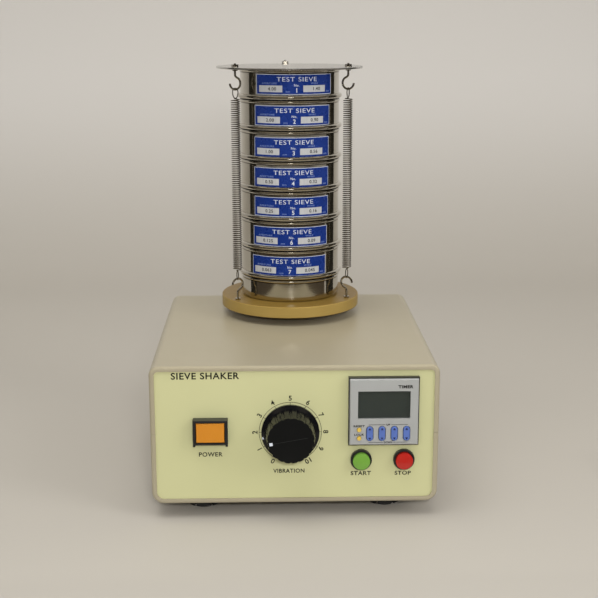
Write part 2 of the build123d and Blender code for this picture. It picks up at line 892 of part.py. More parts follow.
for index, x in enumerate(rocker_xs, 1):
    with BuildPart() as rocker:
        with BuildSketch(facing(timer_face_y - rocker_proud, x, rocker_z)):
            SlotOverall(rocker_height, rocker_width, rotation=90)
        extrude(amount=-rocker_depth)
        fillet(rocker.faces().sort_by(Axis.Y)[0].edges(), rocker_edge_radius)
    keep(rocker.part, f"timer_key_{index}")

for (x, z), name in zip(small_key_places, ("timer_reset_key", "timer_lock_key")):
    with BuildPart() as small_key:
        with BuildSketch(facing(timer_face_y - small_key_proud, x, z)):
            Circle(small_key_radius)
        extrude(amount=-small_key_depth)
    keep(small_key.part, name)

with BuildPart() as timer_clamp:
    with BuildSketch(facing(panel_back_y, timer_x, timer_z)):
        RectangleRounded(timer_clamp_size, timer_clamp_size, timer_clamp_corner)
        Rectangle(
            timer_body_size + 2 * timer_clamp_gap,
            timer_body_size + 2 * timer_clamp_gap,
            mode=Mode.SUBTRACT,
        )
    extrude(amount=-timer_clamp_depth)
keep(timer_clamp.part, "timer_clamp")


# Mains inlet and fuse holder

inlet_z = case_top_z - inlet_drop
inlet_face_y = rear_face_y + inlet_flange_thickness

with BuildPart() as mains_inlet:
    with BuildSketch(facing(inlet_face_y, inlet_x, inlet_z)):
        RectangleRounded(inlet_flange_width, inlet_flange_height, inlet_corner)
        with GridLocations(inlet_screw_spacing, 0, 2, 1):
            Circle(screw_hole_radius, mode=Mode.SUBTRACT)
    extrude(amount=inlet_flange_thickness)
    with BuildSketch(facing(rear_face_y, inlet_x, inlet_z)):
        Rectangle(inlet_body_width, inlet_body_height)
    extrude(amount=inlet_body_depth)
    with BuildSketch(facing(inlet_face_y, inlet_x, inlet_z)) as cavity:
        Rectangle(inlet_cavity_width, inlet_cavity_height)
        chamfer(cavity.vertices().group_by(Axis.Y)[-1], inlet_cavity_chamfer)
    extrude(amount=inlet_cavity_depth, mode=Mode.SUBTRACT)
    with BuildSketch(facing(inlet_face_y - inlet_cavity_depth, inlet_x, inlet_z)):
        with Locations((-pin_spacing / 2, -pin_offset), (0, pin_offset), (pin_spacing / 2, -pin_offset)):
            Rectangle(pin_width, pin_height)
    extrude(amount=-pin_length)
    with BuildSketch(facing(rear_face_y - inlet_body_depth, inlet_x, inlet_z)):
        with GridLocations(pin_spacing / 2, 0, 3, 1):
            Rectangle(blade_thickness, blade_width)
    extrude(amount=blade_length)
keep(mains_inlet.part, "mains_inlet")

with BuildPart() as fuse_holder:
    fuse_z = case_top_z - fuse_drop
    with BuildSketch(facing(rear_face_y, fuse_x, fuse_z)):
        Circle(fuse_flange_radius)
    extrude(amount=-fuse_flange_thickness)
    with BuildSketch(facing(rear_face_y, fuse_x, fuse_z)):
        Circle(fuse_cap_radius)
    extrude(amount=-(fuse_flange_thickness + fuse_cap_height))
    cap_end = fuse_holder.faces().sort_by(Axis.Y)[-1]
    fillet(cap_end.edges(), bezel_edge)
    with BuildSketch(facing(rear_face_y, fuse_x, fuse_z)):
        Circle(fuse_barrel_radius)
    extrude(amount=fuse_barrel_depth)
    with BuildSketch(facing(rear_face_y + fuse_flange_thickness + fuse_cap_height, fuse_x, fuse_z)):
        Rectangle(2 * fuse_cap_radius, fuse_slot_width)
    extrude(amount=fuse_slot_depth, mode=Mode.SUBTRACT)
    with BuildSketch(facing(rear_face_y - fuse_barrel_depth, fuse_x, fuse_z)):
        Rectangle(blade_width, blade_thickness)
    extrude(amount=blade_length)
keep(fuse_holder.part, "fuse_holder")


# Control board with its heat sink and capacitor

with BuildPart() as control_board:
    board_z = floor_z + board_height
    with BuildSketch(level(board_z, board_x, board_y)):
        Rectangle(board_width, board_depth)
    extrude(amount=board_thickness)
    board_top_z = board_z + board_thickness
    with BuildSketch(level(board_top_z, board_x - board_width / 4, board_y + board_depth / 4)):
        Rectangle(heat_sink_width, heat_sink_thickness)
        with GridLocations(heat_sink_width / heat_sink_fins, 0, heat_sink_fins, 1):
            Rectangle(heat_sink_thickness, heat_sink_depth)
    extrude(amount=heat_sink_height)
    with BuildSketch(level(board_top_z, board_x + board_width / 4, board_y + board_depth / 4)):
        Circle(capacitor_radius)
    extrude(amount=capacitor_height)
    with BuildSketch(level(board_top_z, board_x, board_y - board_depth / 2 + terminal_block_depth)):
        Rectangle(terminal_block_width, terminal_block_depth)
    extrude(amount=terminal_block_height)
keep(control_board.part, "control_board")


# Sieves, their wire cloth and the receiver pan

def sieve_frame(contact_z):
    # One turned profile: a skirt that drops into the piece below, a bead that rests on its rim,
    # a groove for the wire cloth, the wall and the rolled rim.
    skirt_outer = sieve_bore_radius - skirt_clearance
    skirt_inner = skirt_outer - skirt_wall
    groove = sieve_bore_radius + mesh_groove_depth
    groove_top = mesh_height + mesh_thickness + 2 * mesh_gap
    bead_high = bead_low + bead_height
    rim_low = sieve_pitch - sieve_rim_height
    with BuildPart() as frame:
        with BuildSketch(stack_section(contact_z)):
            with BuildLine():
                Polyline(
                    (sieve_outer_radius, bead_low),
                    (sieve_outer_radius, 0),
                    (skirt_outer, 0),
                    (skirt_outer, -skirt_depth),
                    (skirt_inner, -skirt_depth),
                    (skirt_inner, mesh_height),
                    (groove, mesh_height),
                    (groove, groove_top),
                    (sieve_bore_radius, groove_top),
                    (sieve_bore_radius, sieve_pitch),
                    (sieve_outer_radius, sieve_pitch),
                )
                ThreePointArc(
                    (sieve_outer_radius, sieve_pitch),
                    (sieve_rim_radius, sieve_pitch - sieve_rim_height / 2),
                    (sieve_outer_radius, rim_low),
                )
                Line((sieve_outer_radius, rim_low), (sieve_outer_radius, bead_high))
                ThreePointArc(
                    (sieve_outer_radius, bead_high),
                    (bead_radius, bead_low + bead_height / 2),
                    (sieve_outer_radius, bead_low),
                )
            make_face()
        revolve(axis=stack_axis)
    return frame.part


def sieve_mesh(contact_z):
    # The disc of woven wire that lies in the frame's groove.
    with BuildPart() as mesh:
        with BuildSketch(level(contact_z + mesh_height + mesh_gap, 0, stack_y)):
            Circle(sieve_bore_radius + mesh_groove_depth - mesh_gap)
        extrude(amount=mesh_thickness)
    return mesh.part


for index in range(1, sieve_count + 1):
    contact_z = stack_top_z - index * sieve_pitch
    keep(sieve_frame(contact_z), f"sieve_frame_{index}")
    keep(sieve_mesh(contact_z), f"sieve_mesh_{index}")

with BuildPart() as receiver_pan:
    with BuildSketch(stack_section(table_top_z)):
        with BuildLine():
            Polyline(
                (0, 0),
                (sieve_outer_radius - pan_corner_radius, 0),
            )
            ThreePointArc(
                (sieve_outer_radius - pan_corner_radius, 0),
                (
                    sieve_outer_radius - pan_corner_radius * (1 - sin(radians(45))),
                    pan_corner_radius * (1 - cos(radians(45))),
                ),
                (sieve_outer_radius, pan_corner_radius),
            )
            Line(
                (sieve_outer_radius, pan_corner_radius),
                (sieve_outer_radius, pan_height - sieve_rim_height),
            )
            ThreePointArc(
                (sieve_outer_radius, pan_height - sieve_rim_height),
                (sieve_rim_radius, pan_height - sieve_rim_height / 2),
                (sieve_outer_radius, pan_height),
            )
            Polyline(
                (sieve_outer_radius, pan_height),
                (sieve_bore_radius, pan_height),
                (sieve_bore_radius, pan_corner_radius),
                (sieve_bore_radius - pan_corner_radius, pan_floor),
                (0, pan_floor),
                (0, 0),
            )
        make_face()
    revolve(axis=stack_axis)
keep(receiver_pan.part, "receiver_pan")


# Table, column and the moving half of the drive

hook_bore = hook_wire / 2 + hook_hole_clearance

with BuildPart() as table_disc:
    with BuildSketch(level(table_bottom_z, 0, stack_y)):
        Circle(table_radius)
    extrude(amount=table_thickness)
    fillet(table_disc.edges().filter_by(GeomType.CIRCLE), table_edge)
    with BuildSketch(level(table_top_z + cut_margin, 0, stack_y)):
        with PolarLocations(hook_circle_radius, 3, start_angle=hook_angles[2]):
            Circle(hook_bore)
    extrude(amount=-(hook_seat_depth + cut_margin), mode=Mode.SUBTRACT)
    with Locations(level(table_top_z, 0, stack_y)):
        with PolarLocations(table_screw_circle, 3):
            CounterSinkHole(
                table_screw_radius + screw_tap_clearance,
                table_screw_head_radius + screw_tap_clearance,
                table_thickness,
                90,
            )
keep(table_disc.part, "table_disc")


def table_screw(angle):
    # A countersunk screw, flush with the table's top.
    head = table_screw_head_radius - table_screw_radius
    c, s = cos(radians(angle)), sin(radians(angle))
    x, y = table_screw_circle * c, stack_y + table_screw_circle * s
    section = Plane(origin=(x, y, table_top_z), x_dir=(1, 0, 0), z_dir=(0, -1, 0))
    with BuildPart() as screw:
        with BuildSketch(section):
            with BuildLine():
                Polyline(
                    (0, 0),
                    (table_screw_head_radius, 0),
                    (table_screw_radius, -head),
                    (table_screw_radius, -table_screw_length),
                    (0, -table_screw_length),
                    close=True,
                )
            make_face()
        revolve(axis=Axis((x, y, 0), (0, 0, 1)))
    return screw.part


keep(Compound(children=[table_screw(angle) for angle in (0, 120, 240)]), "table_screws")

with BuildPart() as drive_column:
    carrier_top_z = carrier_z + carrier_thickness
    with BuildSketch(level(carrier_top_z, 0, stack_y)):
        Circle(column_flange_radius)
    extrude(amount=column_flange_height)
    with BuildSketch(level(carrier_top_z, 0, stack_y)):
        Circle(column_radius)
    extrude(amount=table_bottom_z - carrier_top_z)
    column_edges = drive_column.edges().filter_by(GeomType.CIRCLE).group_by(SortBy.RADIUS)[0]
    fillet(column_edges.sort_by(Axis.Z)[0], column_root_radius)
    with BuildSketch(level(table_bottom_z, 0, stack_y)):
        with PolarLocations(table_screw_circle, 3):
            Circle(table_screw_radius + screw_tap_clearance)
    extrude(amount=-(table_screw_length - table_thickness + cut_margin), mode=Mode.SUBTRACT)
keep(drive_column.part, "drive_column")

spring_offset = drive_plate / 2 - drive_spring_inset


def drive_block(z, thickness):
    # A square plate with rounded corners, centred on the stack's axis.
    with BuildPart() as block:
        with BuildSketch(level(z, 0, stack_y)):
            RectangleRounded(drive_plate, drive_plate, drive_plate_corner)
        extrude(amount=thickness)
    return block.part


carrier_blank = drive_block(carrier_z, carrier_thickness)
with BuildPart() as carrier_plate:
    add(carrier_blank)
    with BuildSketch(level(carrier_z, 0, stack_y)):
        with GridLocations(2 * spring_offset, 2 * spring_offset, 2, 2):
            Circle(screw_hole_radius)
    extrude(amount=carrier_thickness, mode=Mode.SUBTRACT)
keep(carrier_plate.part, "carrier_plate")

core_width = core_leg + 2 * (core_slot_width + core_side_leg)

with BuildPart() as armature:
    with BuildSketch(level(armature_z, 0, stack_y)):
        Rectangle(core_width, core_depth)
    extrude(amount=armature_thickness)
keep(armature.part, "armature")


# Fixed half of the drive

base_blank = drive_block(drive_base_z, drive_plate_thickness)
with BuildPart() as drive_base:
    add(base_blank)
    with BuildSketch(level(floor_z, 0, stack_y)):
        with GridLocations(2 * spring_offset, 2 * spring_offset, 2, 2):
            Circle(drive_leg_radius)
    extrude(amount=drive_leg_height)
keep(drive_base.part, "drive_base")

with BuildPart() as magnet_core:
    slot_x = (core_leg + core_slot_width) / 2
    with BuildSketch(facing(stack_y + core_depth / 2, 0, core_z)):
        with Locations((0, core_height / 2)):
            Rectangle(core_width, core_height)
        with Locations((-slot_x, core_height - core_slot_depth / 2), (slot_x, core_height - core_slot_depth / 2)):
            Rectangle(core_slot_width, core_slot_depth, mode=Mode.SUBTRACT)
    extrude(amount=core_depth)
keep(magnet_core.part, "magnet_core")

with BuildPart() as magnet_coil:
    coil_z = core_z + core_height - core_slot_depth + coil_clearance
    coil_inner_x = core_leg + 2 * coil_clearance
    coil_inner_y = core_depth + 2 * coil_clearance
    with BuildSketch(level(coil_z, 0, stack_y)):
        RectangleRounded(coil_inner_x + 2 * coil_thickness, coil_inner_y + 2 * coil_thickness, coil_thickness)
        Rectangle(coil_inner_x, coil_inner_y, mode=Mode.SUBTRACT)
    extrude(amount=coil_height)
keep(magnet_coil.part, "magnet_coil")


def rubber_spring(x, y):
    # A waisted rubber block between the fixed base and the moving carrier.
    low = drive_base_z + drive_plate_thickness
    height = carrier_z - low
    with BuildPart() as block:
        with BuildSketch(Plane(origin=(x, y, low), x_dir=(1, 0, 0), z_dir=(0, -1, 0))):
            with BuildLine():
                Polyline((drive_spring_radius, height), (0, height), (0, 0), (drive_spring_radius, 0))
                ThreePointArc(
                    (drive_spring_radius, 0),
                    (drive_spring_waist, height / 2),
                    (drive_spring_radius, height),
                )
            make_face()
        revolve(axis=Axis((x, y, 0), (0, 0, 1)))
    return block.part


spring_points = [(sx * spring_offset, stack_y + sy * spring_offset) for sx in (-1, 1) for sy in (-1, 1)]
keep(Compound(children=[rubber_spring(x, y) for x, y in spring_points]), "rubber_springs")


# Hold-down plate with its hooks, nuts and springs

with BuildPart() as clamp_plate:
    with BuildSketch(level(stack_top_z, 0, stack_y)):
        Circle(clamp_radius)
        with PolarLocations(hook_circle_radius, 3, start_angle=hook_angles[2]):
            Circle(hook_bore, mode=Mode.SUBTRACT)
    extrude(amount=clamp_thickness)
    round_edges = clamp_plate.edges().filter_by(GeomType.CIRCLE)
    fillet(round_edges.group_by(SortBy.RADIUS)[-1], clamp_edge)
keep(clamp_plate.part, "clamp_plate")


def bent_hook(angle, ring_z, shank_z, collar_z):
    # A wire hook: a straight shank, a bend towards the stack, and an open ring whose tip points
    # outwards. Its shank ends at shank_z, above or below the ring, and its collar starts at
    # collar_z.
    up = 1 if shank_z > ring_z else -1
    plane = hook_plane(angle)
    swing = acos(hook_bend_radius / (hook_bend_radius + hook_radius))
    bend_z = ring_z + up * (hook_bend_radius + hook_radius) * sin(swing)
    turn = degrees(swing)
    with BuildPart() as hook:
        top = plane.from_local_coords((0, shank_z, 0))
        with BuildSketch(Plane(origin=top, x_dir=plane.x_dir, z_dir=(0, 0, -up))):
            Circle(hook_wire / 2)
        extrude(amount=abs(shank_z - bend_z))
        bend = plane.from_local_coords((0, bend_z, 0))
        with BuildSketch(Plane(origin=bend, x_dir=plane.x_dir, z_dir=(0, 0, -up))):
            Circle(hook_wire / 2)
        bend_centre = plane.from_local_coords((-hook_bend_radius, bend_z, 0))
        revolve(axis=Axis(bend_centre, plane.z_dir * -up), revolution_arc=turn)
        tip = plane.from_local_coords((hook_radius, ring_z, 0))
        with BuildSketch(Plane(origin=tip, x_dir=plane.x_dir, z_dir=(0, 0, -up))):
            Circle(hook_wire / 2)
        ring_centre = plane.from_local_coords((0, ring_z, 0))
        revolve(axis=Axis(ring_centre, plane.z_dir * -up), revolution_arc=180 + turn)
        place = plane.from_local_coords((0, collar_z, 0))
        with BuildSketch(Plane(origin=place, x_dir=(1, 0, 0), z_dir=(0, 0, -up))):
            Circle(hook_collar_radius)
        extrude(amount=hook_collar_height)
    return hook.part


upper_shank_z = clamp_top_z + hook_nut_height + hook_thread_proud
upper = [bent_hook(angle, upper_hook_z, upper_shank_z, stack_top_z) for angle in hook_angles]
keep(Compound(children=upper), "upper_hooks")

lower_shank_z = table_top_z - hook_seat_depth
lower = [bent_hook(angle, lower_hook_z, lower_shank_z, table_top_z) for angle in hook_angles]
keep(Compound(children=lower), "lower_hooks")


def hook_nut(angle):
    place = hook_plane(angle).from_local_coords((0, clamp_top_z, 0))
    with BuildPart() as nut:
        with BuildSketch(Plane(origin=place, x_dir=(1, 0, 0), z_dir=(0, 0, 1))):
            RegularPolygon(hook_nut_flats / 2, 6, major_radius=False)
            Circle(hook_bore, mode=Mode.SUBTRACT)
        extrude(amount=hook_nut_height)
    return nut.part


keep(Compound(children=[hook_nut(angle) for angle in hook_angles]), "hook_nuts")

loop_seat = hook_wire / 2 + spring_wire / 2 + spring_hook_gap
upper_loop_z = upper_hook_z - hook_radius + loop_seat - spring_loop_half_height
lower_loop_z = lower_hook_z + hook_radius - loop_seat + spring_loop_half_height


def loop_outline(offset, mode=Mode.ADD):
    # The outline of a spring's end loop, this far outside the middle of its wire.
    height = 2 * (spring_loop_half_height + offset)
    SlotOverall(height, 2 * (spring_loop_half_width + offset), rotation=90, mode=mode)


def hold_down_spring(angle):
    # The outer form of a close-wound spring, with a flat loop at each end.
    place = hook_plane(angle).origin
    low = lower_loop_z + spring_loop_half_height
    high = upper_loop_z - spring_loop_half_height
    c, s = cos(radians(angle)), sin(radians(angle))
    with BuildPart() as spring:
        with BuildSketch(level(low, place.X, place.Y)):
            Circle(spring_radius)
            Circle(spring_radius - spring_wire, mode=Mode.SUBTRACT)
        extrude(amount=high - low)
        for z, depth in ((low, spring_wire), (high, -spring_wire)):
            end = Plane(origin=(place.X, place.Y, z), x_dir=(-s, c, 0), z_dir=(0, 0, 1))
            with BuildSketch(end):
                Rectangle(2 * spring_radius - spring_wire, spring_end_width)
            extrude(amount=depth)
        for z in (lower_loop_z, upper_loop_z):
            with BuildSketch(Plane(origin=(place.X, place.Y, z), x_dir=(-s, c, 0), z_dir=(c, s, 0))):
                loop_outline(spring_wire / 2)
                loop_outline(-spring_wire / 2, Mode.SUBTRACT)
            extrude(amount=spring_wire / 2, both=True)
    return spring.part


keep(Compound(children=[hold_down_spring(angle) for angle in hook_angles]), "hold_down_springs")


os.makedirs("parts", exist_ok=True)
for name, part in pieces.items():
    export_step(part, f"parts/{name}.step")
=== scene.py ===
from math import cos, pi, radians, sin, tau

import bmesh
import bpy
from mathutils import Matrix, Vector


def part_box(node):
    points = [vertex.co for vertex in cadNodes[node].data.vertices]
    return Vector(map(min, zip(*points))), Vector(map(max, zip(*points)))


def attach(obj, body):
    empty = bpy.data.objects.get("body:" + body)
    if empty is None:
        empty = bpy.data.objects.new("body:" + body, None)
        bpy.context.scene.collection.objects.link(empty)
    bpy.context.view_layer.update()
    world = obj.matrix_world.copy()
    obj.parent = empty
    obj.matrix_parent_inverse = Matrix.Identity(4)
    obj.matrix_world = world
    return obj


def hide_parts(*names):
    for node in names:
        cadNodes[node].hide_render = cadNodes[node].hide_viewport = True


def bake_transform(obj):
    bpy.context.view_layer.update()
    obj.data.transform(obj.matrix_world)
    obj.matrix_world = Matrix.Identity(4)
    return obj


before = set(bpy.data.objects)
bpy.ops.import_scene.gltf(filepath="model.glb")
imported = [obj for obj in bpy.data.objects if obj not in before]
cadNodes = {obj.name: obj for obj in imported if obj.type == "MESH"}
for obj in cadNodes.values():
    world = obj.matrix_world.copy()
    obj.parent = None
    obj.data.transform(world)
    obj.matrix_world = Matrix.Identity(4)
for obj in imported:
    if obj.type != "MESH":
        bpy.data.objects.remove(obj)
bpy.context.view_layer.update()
depsgraph = bpy.context.evaluated_depsgraph_get
print("frame loaded")


def mm(*values):
    return Vector(values) / 1000


# Where a frame node starts, ends and has its middle along an axis, in millimetres
def lowOf(node, axis):
    return round(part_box(node)[0]["xyz".index(axis)] * 1000, 2)


def highOf(node, axis):
    return round(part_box(node)[1]["xyz".index(axis)] * 1000, 2)


def middleOf(node, axis):
    return round((lowOf(node, axis) + highOf(node, axis)) / 2, 2)


# Places that several pieces share, in millimetres
sieveCount = 7
keyCount = 4
panelY = lowOf("front_panel", "y")
stackY = middleOf("table_disc", "y")
tableTopZ = highOf("table_disc", "z")
firstContactZ = highOf("receiver_pan", "z")
sieveRise = lowOf("sieve_frame_1", "z") - lowOf(f"sieve_frame_{sieveCount}", "z")
sievePitch = round(sieveRise / (sieveCount - 1), 2)
knobX, knobZ = middleOf("knob", "x"), middleOf("knob", "z")
knobFaceY = lowOf("knob", "y")
wallRadius = 38.15
hookAngles = (213.0, 333.0, 93.0)
hookCircle = 49.0


# A socket that takes Python's operators, and a node tree with one way to add a node
class Tap:
    def __init__(self, graph, socket):
        self.graph, self.socket = graph, socket

    def maths(self, operation, *operands):
        return self.graph.node("ShaderNodeMath", {"operation": operation}, operands)

    def out(self, name):
        return Tap(self.graph, self.socket.node.outputs[name])

    def __add__(self, other):
        return self.maths("ADD", self, other)

    def __sub__(self, other):
        return self.maths("SUBTRACT", self, other)

    def __rsub__(self, other):
        return self.maths("SUBTRACT", other, self)

    def __mul__(self, other):
        return self.maths("MULTIPLY", self, other)

    def __pow__(self, other):
        return self.maths("POWER", self, other)

    __radd__ = __add__
    __rmul__ = __mul__

    # 0 below the edge and 1 above it, with a soft step this wide
    def above(self, edge, width):
        return self.graph.node("ShaderNodeMapRange", {"interpolation_type": "SMOOTHSTEP"}, {
            "Value": self, "From Min": edge - width / 2, "From Max": edge + width / 2})


class Graph:
    def __init__(self, tree):
        self.tree = tree

    def node(self, kind, settings=None, inputs=(), output=0):
        made = self.tree.nodes.new(kind)
        for key, value in (settings or {}).items():
            setattr(made, key, value)
        pairs = inputs.items() if isinstance(inputs, dict) else enumerate(inputs)
        for key, value in pairs:
            self.feed(made.inputs[key], value)
        return Tap(self, made.outputs[output])

    def feed(self, socket, value):
        if isinstance(value, Tap):
            self.tree.links.new(value.socket, socket)
        else:
            socket.default_value = value

    # A colour mix: colours are triples or sockets
    def blend(self, factor, first, second):
        inputs = {0: factor, 6: first if isinstance(first, Tap) else (*first, 1),
                  7: second if isinstance(second, Tap) else (*second, 1)}
        return self.node("ShaderNodeMix", {"data_type": "RGBA"}, inputs, output=2)


# A material: constants go on the shader's sockets, patterns through the methods
class Finish(Graph):
    def __init__(self, name, colour, roughness, **constants):
        self.material = bpy.data.materials.new(name)
        self.material.use_nodes = True
        super().__init__(self.material.node_tree)
        self.shader = self.tree.nodes["Principled BSDF"]
        self.drive("Base Color", (*colour, 1))
        self.drive("Roughness", roughness)
        for socket, value in constants.items():
            self.drive(socket.replace("_", " ").title().replace("Ior", "IOR"), value)
        self.place = self.node("ShaderNodeTexCoord", output="Object")
        self.axes = self.node("ShaderNodeSeparateXYZ", inputs=[self.place])

    def drive(self, socket, value):
        self.feed(self.shader.inputs[socket], value)

    # Noise of this many features a metre, in any of the three directions
    def noise(self, scale, detail, stretch=(1, 1, 1)):
        scales = tuple(scale * s for s in stretch)
        mapped = self.node("ShaderNodeMapping", inputs={"Vector": self.place, "Scale": scales})
        return self.node("ShaderNodeTexNoise", inputs={"Vector": mapped, "Scale": 1.0, "Detail": detail})

    # A sine wave with this distance from crest to crest
    def wave(self, along, pitch):
        return self.node("ShaderNodeMath", {"operation": "SINE"}, [along * (tau / pitch)])

    def bump(self, height, depth):
        self.drive("Normal", self.node("ShaderNodeBump", inputs={
            "Strength": 1.0, "Distance": depth, "Height": height}))


# A plain finish: cloudy towards another colour and in its gloss, with a fine relief
def clouded(name, colour, other, roughness, cloud, spread, grain, depth, stretch=(1, 1, 1), **constants):
    finish = Finish(name, colour, roughness, **constants)
    finish.drive("Base Color", finish.blend(finish.noise(cloud, 4.0, stretch), colour, other))
    gloss = finish.noise(cloud * 2.3, 3.0, stretch) - 0.5
    finish.drive("Roughness", roughness + gloss * (2 * spread))
    finish.bump(finish.noise(grain, 2.0, stretch), depth)
    return finish


# Spun stainless: faint rings round the stack's axis, smudges, and a dark line of painted shade
# in the joint between two sieves and under each rolled rim
steelSizes = {"rings": 900, "smudges": 55, "jointShadeLow": -0.35, "jointShadeWidth": 1.15,
              "rimShadeLow": -2.95, "rimShadeWidth": 0.7, "rimShade": 0.75, "soft": 0.2, "shade": 0.92}


def spunSteel(s=steelSizes):
    steel = Finish("spunSteel", (0.70, 0.68, 0.63), 0.09, metallic=1.0,
                   anisotropic=0.75, anisotropic_rotation=0.25)
    rings = steel.noise(s["rings"], 3.0, (0.004, 0.004, 1.6))
    smudge = steel.noise(s["smudges"], 5.0)
    bright = steel.blend(smudge, (0.69, 0.67, 0.62), (0.55, 0.52, 0.45))

    # Height above the nearest such line, which comes again with every sieve
    def heightAbove(low):
        return steel.node("ShaderNodeMath", {"operation": "FLOORED_MODULO"}, [
            steel.axes.out("Z") - (firstContactZ + low) / 1000, sievePitch / 1000])

    # Painted shade: near-black bands where each sieve meets the one below and just under each rolled rim
    overJoint, overRim = heightAbove(s["jointShadeLow"]), heightAbove(s["rimShadeLow"])
    paintedJointShade = 1 - overJoint.above(s["jointShadeWidth"] / 1000, s["soft"] / 1000)
    paintedRimShade = (1 - overRim.above(s["rimShadeWidth"] / 1000, s["soft"] / 1000)) * s["rimShade"]
    paintedCreaseShade = paintedJointShade.maths("MAXIMUM", paintedJointShade, paintedRimShade)
    steel.drive("Base Color", steel.blend(paintedCreaseShade * s["shade"], bright, (0.02, 0.016, 0.011)))
    steel.drive("Roughness", 0.04 + smudge ** 2 * 0.1 + rings * 0.05)
    steel.bump(rings, 0.000012)
    return steel


def rolledPlate():
    plate = Finish("rolledPlate", (0.72, 0.72, 0.71), 0.2, metallic=1.0)
    lines = plate.noise(700, 3.0, (0.03, 1.4, 1))
    plate.drive("Base Color", plate.blend(plate.noise(25, 4.0), (0.76, 0.76, 0.75), (0.63, 0.63, 0.62)))
    plate.drive("Roughness", 0.16 + lines * 0.14)
    plate.bump(lines, 0.00001)
    return plate


# Wire cloth: two crossing waves, with the openings painted near black as painted shade seen through them
def wireCloth(wirePitch=0.0014):
    cloth = Finish("wireCloth", (0.50, 0.49, 0.46), 0.35, metallic=1.0)
    x, y = cloth.axes.out("X"), cloth.axes.out("Y")
    across, along = cloth.wave(x, wirePitch), cloth.wave(y, wirePitch)
    wires = across.maths("MAXIMUM", across, along).above(0.1, 0.9)
    # Painted shade: near black in the openings, the wire's colour on the wires
    cloth.drive("Base Color", cloth.blend(wires, (0.02, 0.02, 0.02), (0.58, 0.56, 0.52)))
    cloth.bump(across * along, 0.0002)
    return cloth


# The round table's resin board: mottled and fibrous, with painted shade that makes its top darker than its
# edge
resinSizes = {"mottle": 38, "fibre": 420, "topDepth": 0.25, "topSoft": 0.4}


def resinBoard(s=resinSizes):
    resin = Finish("resinBoard", (0.33, 0.235, 0.075), 0.36, specular_ior_level=0.25)
    mottle = resin.noise(s["mottle"], 6.0, (1, 1, 3))
    fibre = resin.noise(s["fibre"], 3.0, (1, 1, 5))
    # Painted shade: the top takes a darker copy of the edge's colour
    paintedShadeOnTop = resin.axes.out("Z").above((tableTopZ - s["topDepth"]) / 1000, s["topSoft"] / 1000)
    edge = resin.blend(mottle, (0.42, 0.29, 0.085), (0.31, 0.205, 0.055))
    top = resin.blend(mottle, (0.28, 0.175, 0.04), (0.215, 0.13, 0.028))
    resin.drive("Base Color", resin.blend(paintedShadeOnTop, edge, top))
    resin.drive("Roughness", 0.3 + fibre * 0.16)
    resin.bump(fibre, 0.00004)
    return resin


# The knob: glossy fluted side, and a face turned matt in fine rings
knobFinishSizes = {"faceDepth": 0.1, "faceSoft": 0.3, "ringPitch": 0.45}


def knobMoulding(s=knobFinishSizes):
    knob = Finish("knobMoulding", (0.006, 0.006, 0.007), 0.2, specular_ior_level=0.22)
    onFace = 1 - knob.axes.out("Y").above((knobFaceY + s["faceDepth"]) / 1000, s["faceSoft"] / 1000)
    across = knob.node("ShaderNodeCombineXYZ", inputs=[knob.axes.out("X"), 0, knob.axes.out("Z")])
    radius = knob.node("ShaderNodeVectorMath", {"operation": "DISTANCE"}, [across, mm(knobX, 0, knobZ)],
                       output="Value")
    turning = knob.wave(radius, s["ringPitch"] / 1000)
    knob.drive("Roughness", 0.17 + onFace * 0.27)
    knob.drive("Base Color", knob.blend(onFace, (0.005, 0.005, 0.006), (0.006, 0.0065, 0.0065)))
    knob.bump(turning * onFace, 0.00001)
    return knob


# A glossy cap under a thin clear coat
def cap(name, colour, other, roughness):
    return clouded(name, colour, other, roughness, cloud=70, spread=0.03, grain=900, depth=0.00001,
                   coat_weight=0.25, coat_roughness=0.12)


def windowPane():
    pane = Finish("windowPane", (0.02, 0.024, 0.022), 0.08, alpha=0.2, coat_weight=0.3)
    pane.drive("Roughness", 0.06 + pane.noise(60, 3.0) * 0.05)
    return pane


# Green board with grey and black parts on everything that stands above its face
def circuitBoard(boardTop=22.6, boardSoft=0.4):
    board = Finish("circuitBoard", (0.02, 0.14, 0.05), 0.4)
    high = board.axes.out("Z").above(boardTop / 1000, boardSoft / 1000)
    parts = board.blend(board.noise(75, 1.0).above(0.5, 0.05), (0.03, 0.03, 0.03), (0.32, 0.33, 0.34))
    resist = board.blend(board.noise(300, 2.0), (0.02, 0.15, 0.05), (0.015, 0.11, 0.04))
    board.drive("Base Color", board.blend(high, resist, parts))
    return board


# Metal in fine layers along one axis, dark between them
def layered(name, colour, roughness, axis, pitch, dark, light, depth):
    layers = Finish(name, colour, roughness, metallic=0.8)
    ridges = layers.wave(layers.axes.out(axis), pitch)
    layers.drive("Base Color", layers.blend(ridges.above(0, 1.6), dark, light))
    layers.bump(ridges, depth)
    return layers


def silverField():
    silver = Finish("silverField", (0.62, 0.63, 0.65), 0.34, metallic=0.25)
    brushed = silver.noise(600, 3.0, (1, 1, 0.06))
    silver.drive("Base Color", silver.blend(brushed, (0.68, 0.69, 0.70), (0.54, 0.55, 0.57)))
    silver.drive("Roughness", 0.26 + brushed * 0.16)
    return silver


# Print colours are thin and plain
def ink(name, colour, other, roughness, cloud, **constants):
    return clouded(name, colour, other, roughness, cloud, spread=0.05, grain=2500, depth=0.00001, **constants)


